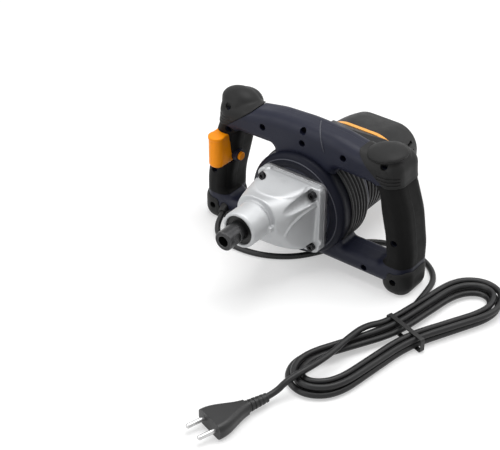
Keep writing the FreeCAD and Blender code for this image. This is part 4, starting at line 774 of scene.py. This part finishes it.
@dataclass
class MotorEnd(SubAssembly):
    """Motor housing, orange band, rear cap and the motor inside."""

    ring_steps: int = 144
    # Sleeve behind the collar; a rib's top and foot are shares of the ribs' pitch.
    sleeve_y: Pair = (8.0, 38.2)
    sleeve_inner: float = 57.8
    sleeve_low: float = 58.9
    sleeve_high: float = 60.3
    sleeve_ribs: int = 6
    rib_top: Pair = (0.05, 0.55)
    rib_foot: Pair = (0.65, 0.95)
    # Dark skin over the collar, a painted shade under the top bar: middle of its round edge as
    # radius and place along the axis.
    collar_inner: float = 44.0
    collar_back: float = 7.6
    collar_edge: Pair = (51.6, -3.8)
    collar_edge_radius: float = 7.0
    collar_shade_skin: float = 0.3
    collar_corners: int = 8
    # Bead on the collar's face, coloured lighter as a painted highlight: middle of its section as
    # radius and place along the axis.
    bead_at: Pair = (52.8, -11.0)
    bead_radius: float = 0.6
    bead_sides: int = 10

    def finishes(self) -> dict[str, Finish]:
        """Give the finish of each node."""
        return {"motor_housing": RIBBED, "trim_band": BAND, "rear_cap": CAP,
                "rear_cap_screws": BLACKENED, "stator_core": CORE, "armature_core": CORE,
                "field_coils": COPPER, "armature_windings": COPPER, "commutator": COPPER,
                "armature_shaft": STEEL, "motor_front_bearing": STEEL,
                "motor_rear_bearing": STEEL, "cooling_fan": INSULATOR,
                "fan_baffle": INSULATOR, "brush_plate": INSULATOR,
                "brush_holders": BRONZE, "carbon_brushes": CARBON}

    def build(self) -> None:
        """Dress the nodes, add the dark skin of painted shade over the collar, the collar's bead
        with its painted highlight and the ribbed sleeve.
        """
        self.dress()
        rows = (("collar_shade_skin", self.collar_shade_profile(), COLLAR_SHADE, Slot.SHELL),
                ("ribbed_sleeve", self.sleeve_profile(), SLEEVE, Slot.HOUSING),
                ("collar_bead", self.bead_profile(), HIGHLIGHT_LINE, Slot.SHELL))
        for name, profile, finish, slot in rows:
            self.add(name, turned(profile, self.ring_steps), finish, slot)

    def sleeve_profile(self) -> Profile:
        """Give the sleeve's section.

        Returns:
            Radius and place along the axis of each corner.
        """
        first, last = self.sleeve_y
        pitch = (last - first) / self.sleeve_ribs
        section = [(self.sleeve_inner, first)]
        for rib in range(self.sleeve_ribs):
            front = first + rib * pitch
            section += [(self.sleeve_high, front + share * pitch) for share in self.rib_top]
            section += [(self.sleeve_low, front + share * pitch) for share in self.rib_foot]
        return section + [(self.sleeve_inner, last)]

    def collar_shade_profile(self) -> Profile:
        """Give the section of the dark skin of painted shade over the collar's face and round
        edge.

        Returns:
            Radius and place along the axis of each corner.
        """
        middle, along = self.collar_edge
        turns = [QUARTER_TURN * step / self.collar_corners
                 for step in range(self.collar_corners + 1)]
        section: Profile = []
        for side in (1.0, -1.0):
            radius = self.collar_edge_radius + side * self.collar_shade_skin
            arc = [(middle + radius * math.sin(turn), along - radius * math.cos(turn))
                   for turn in turns]
            strip = [(self.collar_inner, along - radius), *arc,
                     (middle + radius, self.collar_back)]
            section += strip if side > 0.0 else strip[::-1]
        return section

    def bead_profile(self) -> Profile:
        """Give the bead's round section.

        Returns:
            Radius and place along the axis of each corner.
        """
        middle, along = self.bead_at
        turns = [FULL_TURN * corner / self.bead_sides for corner in range(self.bead_sides)]
        return [(middle + self.bead_radius * math.cos(turn),
                 along + self.bead_radius * math.sin(turn)) for turn in turns]


@dataclass
class MainsCord(SubAssembly):
    """Cord from the left foot under the tool to a tied hank and its plug; its length in metres."""

    radius: float = 3.25
    length: float = 2.82
    sheath_steps: int = 4
    curve_steps: int = 8
    curve_order: int = 3
    floor_z: float = -69.0
    # Lead: down from the cord guard, then along the floor to the hank.
    lead_z: float = -65.65
    drop: tuple[Point, ...] = (
        (-106.5, 17.0, -43.5), (-100.0, -16.0, -55.0), (-93.0, -29.0, -63.65))
    run: tuple[Pair, ...] = (
        (-78.0, -36.0), (-50.0, -37.0), (-24.0, -30.0), (0.0, -14.0), (16.0, 8.0),
        (28.0, 34.0), (44.0, 57.0), (68.0, 72.0), (98.0, 73.0), (124.0, 64.0),
        (142.5, 45.0), (147.0, 20.0), (149.5, -6.0))
    # Hank: figure-of-eight turns that lie inside each other, in two layers.
    centre: Pair = (166.0, -62.0)
    heading: float = math.radians(72.7)
    turns: int = 4
    half_long: float = 127.0
    lobe_half: float = 36.0
    lobe_pitch: float = 8.4
    waist_half: float = 18.5
    pitch: float = 7.3
    entry: float = 2.2
    entry_run: float = 28.0
    layer: float = 7.1
    lift: float = 1.4
    climb_turns: float = 0.5
    # Points of half a turn: shares of the half length, of the waist and of the lobe.
    stations: tuple[Point, ...] = (
        (0.0, 1.0, 0.0), (0.42, 0.52, 0.48), (0.82, 0.0, 0.97), (1.03, 0.0, 0.42),
        (1.03, 0.0, -0.42), (0.82, 0.0, -0.97), (0.42, -0.52, -0.48))
    # Tail to the plug. Its rise: along the hank, out from the waist, and layers up. Its run over
    # the turns: along, across, and height over the top layer. Its end: beyond the hank.
    tail_rise: tuple[Point, ...] = ((0.0, 1.6, 1.0), (-26.0, 3.0, 1.9))
    tail_over: tuple[Point, ...] = (
        (-53.0, -15.0, 0.9), (-81.0, -6.0, 0.4), (-108.0, -1.0, 1.0), (-137.0, 0.0, -0.5))
    tail_end: Pair = (25.0, 48.0)
    plug_middle: float = 8.5

    def finishes(self) -> dict[str, Finish]:
        """Give the finish of each node."""
        return {"cord_guard": CORD, "cord_clamp": INSULATOR, "cord_lead": CORD,
                "cord_hank": CORD, "cord_tie": TIE, "plug_body": PLUG, "plug_pins": STEEL}

    def hank_at(self, along: float, across: float, height: float) -> Vector:
        """Give a point of the hank from its own axes.

        Args:
            along: Millimetres along the hank, towards the tool.
            across: Millimetres across it.
            height: Millimetres above the floor.

        Returns:
            The point in the frame.
        """
        cos_h, sin_h = math.cos(self.heading), math.sin(self.heading)
        return tool_point(self.centre[0] + along * cos_h + across * sin_h,
                          self.centre[1] + along * sin_h - across * cos_h,
                          self.floor_z + height)

    def lead_route(self, low: float) -> list[Vector]:
        """Give the control points from the cord guard to the hank's first turn.

        Args:
            low: Height of the lower layer above the floor.

        Returns:
            Points in the frame.
        """
        aside = -self.waist_half - self.entry
        points = [tool_point(*place) for place in self.drop]
        points += [tool_point(x, y, self.lead_z) for x, y in self.run]
        return points + [self.hank_at(along, aside, low) for along in (self.entry_run, 0.0)]

    def hank_route(self, low: float) -> list[Vector]:
        """Give the control points of the hank's turns.

        Args:
            low: Height of the lower layer above the floor.

        Returns:
            Points in the frame.
        """
        points = []
        count = len(self.stations)
        climb_from = 0.5 * self.turns - 0.5 * self.climb_turns
        for step in range(1, 2 * self.turns * count):
            turn = step / (2.0 * count)
            lane = min(turn, self.turns - turn)
            half, spot = divmod(step, count)
            reach, by_waist, by_lobe = self.stations[spot]
            waist = self.waist_half - self.pitch * lane
            lobe = self.lobe_half - self.lobe_pitch * lane
            along = reach * (self.half_long - self.pitch * lane)
            across = by_waist * waist + by_lobe * lobe
            climb = min(1.0, max(0.0, (turn - climb_from) / self.climb_turns))
            sign = -1.0 if half % 2 == 0 else 1.0
            points.append(self.hank_at(sign * along, sign * across, low + self.layer * climb))
        return points

    def tail_route(self, low: float) -> list[Vector]:
        """Give the control points from the hank's last turn to the plug.

        Args:
            low: Height of the lower layer above the floor.

        Returns:
            Points in the frame.
        """
        top = low + 2.0 * self.layer
        points = [self.hank_at(along, -self.waist_half - out, low + layers * self.layer)
                  for along, out, layers in self.tail_rise]
        points += [self.hank_at(along, across, top + over)
                   for along, across, over in self.tail_over]
        return points + [self.hank_at(-self.half_long - beyond, 0.0, self.plug_middle)
                         for beyond in self.tail_end]

    def build(self) -> None:
        self.dress()
        low = self.radius + self.lift
        points = self.lead_route(low) + self.hank_route(low) + self.tail_route(low)
        data = bpy.data.curves.new("mains_cord", "CURVE")
        data.dimensions = "3D"
        data.bevel_depth = self.radius * MM
        data.bevel_resolution = self.sheath_steps
        data.use_fill_caps = True
        data.resolution_u = self.curve_steps
        spline = data.splines.new("NURBS")
        spline.points.add(len(points) - 1)
        for spot, point in zip(spline.points, points):
            spot.co = (*point, 1.0)
        spline.order_u = self.curve_order
        spline.use_endpoint_u = True
        cord = bpy.data.objects.new("mains_cord", data)
        bpy.context.scene.collection.objects.link(cord)
        data.materials.append(self.wardrobe.material(CORD))
        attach(cord, HOUSING_BODY)
        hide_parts("cord_lead", "cord_hank")
        [self.node(name) for name in ("plug_body", "plug_pins", "cord_tie")]
        LOG.info("piece mains_cord laid with %d points", len(points))


class Lamp(Enum):
    """Soft lamps: place in metres, width in metres and power in watts."""

    TOP = ((0.05, 0.25, 1.75), 1.5, 24.0)
    KEY = ((-1.0, -1.0, 1.25), 1.2, 8.0)
    RIM = ((0.9, 1.2, 1.1), 1.0, 6.0)
    FILL = ((-0.45, -1.8, 0.55), 1.4, 7.0)


@dataclass
class Studio:
    """Camera, floor and lights; the target in millimetres, other lengths in metres."""

    target: Point = (-68.9, 0.0, -60.4)
    yaw: float = math.radians(37.8)
    elevation: float = math.radians(34.4)
    distance: float = 1.494
    far_clip: float = 50.0
    # Focal length and picture width in pixels of the photograph.
    focal_px: float = 1347.0
    image_width: float = 500.0
    floor_half: float = 6.0
    floor_colour: Colour = (0.62, 0.62, 0.62)
    floor_roughness: float = 0.9
    floor_lift: float = 0.42
    world_level: float = 0.32

    def build(self) -> None:
        """Set up the camera, the floor and the light."""
        self._camera()
        self._floor()
        self._lights()
        bpy.context.scene.view_settings.view_transform = "Standard"

    def _camera(self) -> None:
        """Put the camera at the photograph's viewing angle."""
        level = math.cos(self.elevation)
        away = Vector((math.sin(self.yaw) * level, -math.cos(self.yaw) * level,
                       math.sin(self.elevation)))
        lens = bpy.data.cameras.new("camera")
        lens.lens = self.focal_px / self.image_width * lens.sensor_width
        lens.clip_end = self.far_clip
        camera = bpy.data.objects.new("camera", lens)
        camera.location = tool_point(*self.target) + away * self.distance
        camera.rotation_euler = (-away).to_track_quat("-Z", "Y").to_euler()
        bpy.context.scene.collection.objects.link(camera)
        bpy.context.scene.camera = camera

    def _background_seen(self, tree: Tree, low: float, high: float) -> Socket:
        """Give one level to the camera and to mirrors, and another to the light.

        Args:
            tree: Node tree that takes the switch.
            low: Level for the light.
            high: Level for the camera and for glossy rays.

        Returns:
            The level.
        """
        rays = tree.nodes.new("ShaderNodeLightPath")
        seen = tree.nodes.new("ShaderNodeMath")
        seen.operation = "MAXIMUM"
        tree.links.new(rays.outputs["Is Camera Ray"], seen.inputs[0])
        tree.links.new(rays.outputs["Is Glossy Ray"], seen.inputs[1])
        level = tree.nodes.new("ShaderNodeMapRange")
        level.inputs["To Min"].default_value = low
        level.inputs["To Max"].default_value = high
        tree.links.new(seen.outputs["Value"], level.inputs["Value"])
        return level.outputs["Result"]

    def _floor(self) -> None:
        """Lay a plain pale floor."""
        shape = bmesh.new()
        bmesh.ops.create_grid(shape, x_segments=1, y_segments=1, size=self.floor_half)
        mesh = bpy.data.meshes.new("floor")
        shape.to_mesh(mesh)
        shape.free()
        floor = bpy.data.objects.new("floor", mesh)
        bpy.context.scene.collection.objects.link(floor)
        material = bpy.data.materials.new("pale_floor")
        material.use_nodes = True
        tree = material.node_tree
        shader = tree.nodes["Principled BSDF"]
        shader.inputs["Base Color"].default_value = (*self.floor_colour, 1.0)
        shader.inputs["Roughness"].default_value = self.floor_roughness
        shader.inputs["Specular IOR Level"].default_value = 0.0
        glow = tree.nodes.new("ShaderNodeEmission")
        lift = self._background_seen(tree, 0.0, self.floor_lift)
        tree.links.new(lift, glow.inputs["Strength"])
        both = tree.nodes.new("ShaderNodeAddShader")
        tree.links.new(shader.outputs["BSDF"], both.inputs[0])
        tree.links.new(glow.outputs["Emission"], both.inputs[1])
        tree.links.new(both.outputs["Shader"], tree.nodes["Material Output"].inputs["Surface"])
        mesh.materials.append(material)

    def _lights(self) -> None:
        """Add soft lamps and an even world."""
        aim = tool_point(0.0, 0.0, 0.0)
        for row in Lamp:
            place, width, power = row.value
            data = bpy.data.lights.new(row.name.lower(), "AREA")
            data.shape = "DISK"
            data.size = width
            data.energy = power
            lamp = bpy.data.objects.new(row.name.lower(), data)
            lamp.location = place
            lamp.rotation_euler = (aim - Vector(place)).to_track_quat("-Z", "Y").to_euler()
            bpy.context.scene.collection.objects.link(lamp)
        world = bpy.data.worlds.new("world")
        world.use_nodes = True
        tree = world.node_tree
        sky = tree.nodes["Background"]
        sky.inputs["Color"].default_value = (1.0, 1.0, 1.0, 1.0)
        level = self._background_seen(tree, self.world_level, 1.0)
        tree.links.new(level, sky.inputs["Strength"])
        bpy.context.scene.world = world


def main() -> None:
    """Build the scene around the frame."""
    logging.basicConfig(level=logging.INFO, format="%(message)s")
    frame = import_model()
    wardrobe = Wardrobe()
    Studio().build()
    for group in (MainsCord, HandleFrame, SwitchGroup, Gearbox, MotorEnd):
        group(wardrobe, frame).build()


if __name__ == "__main__":
    main()
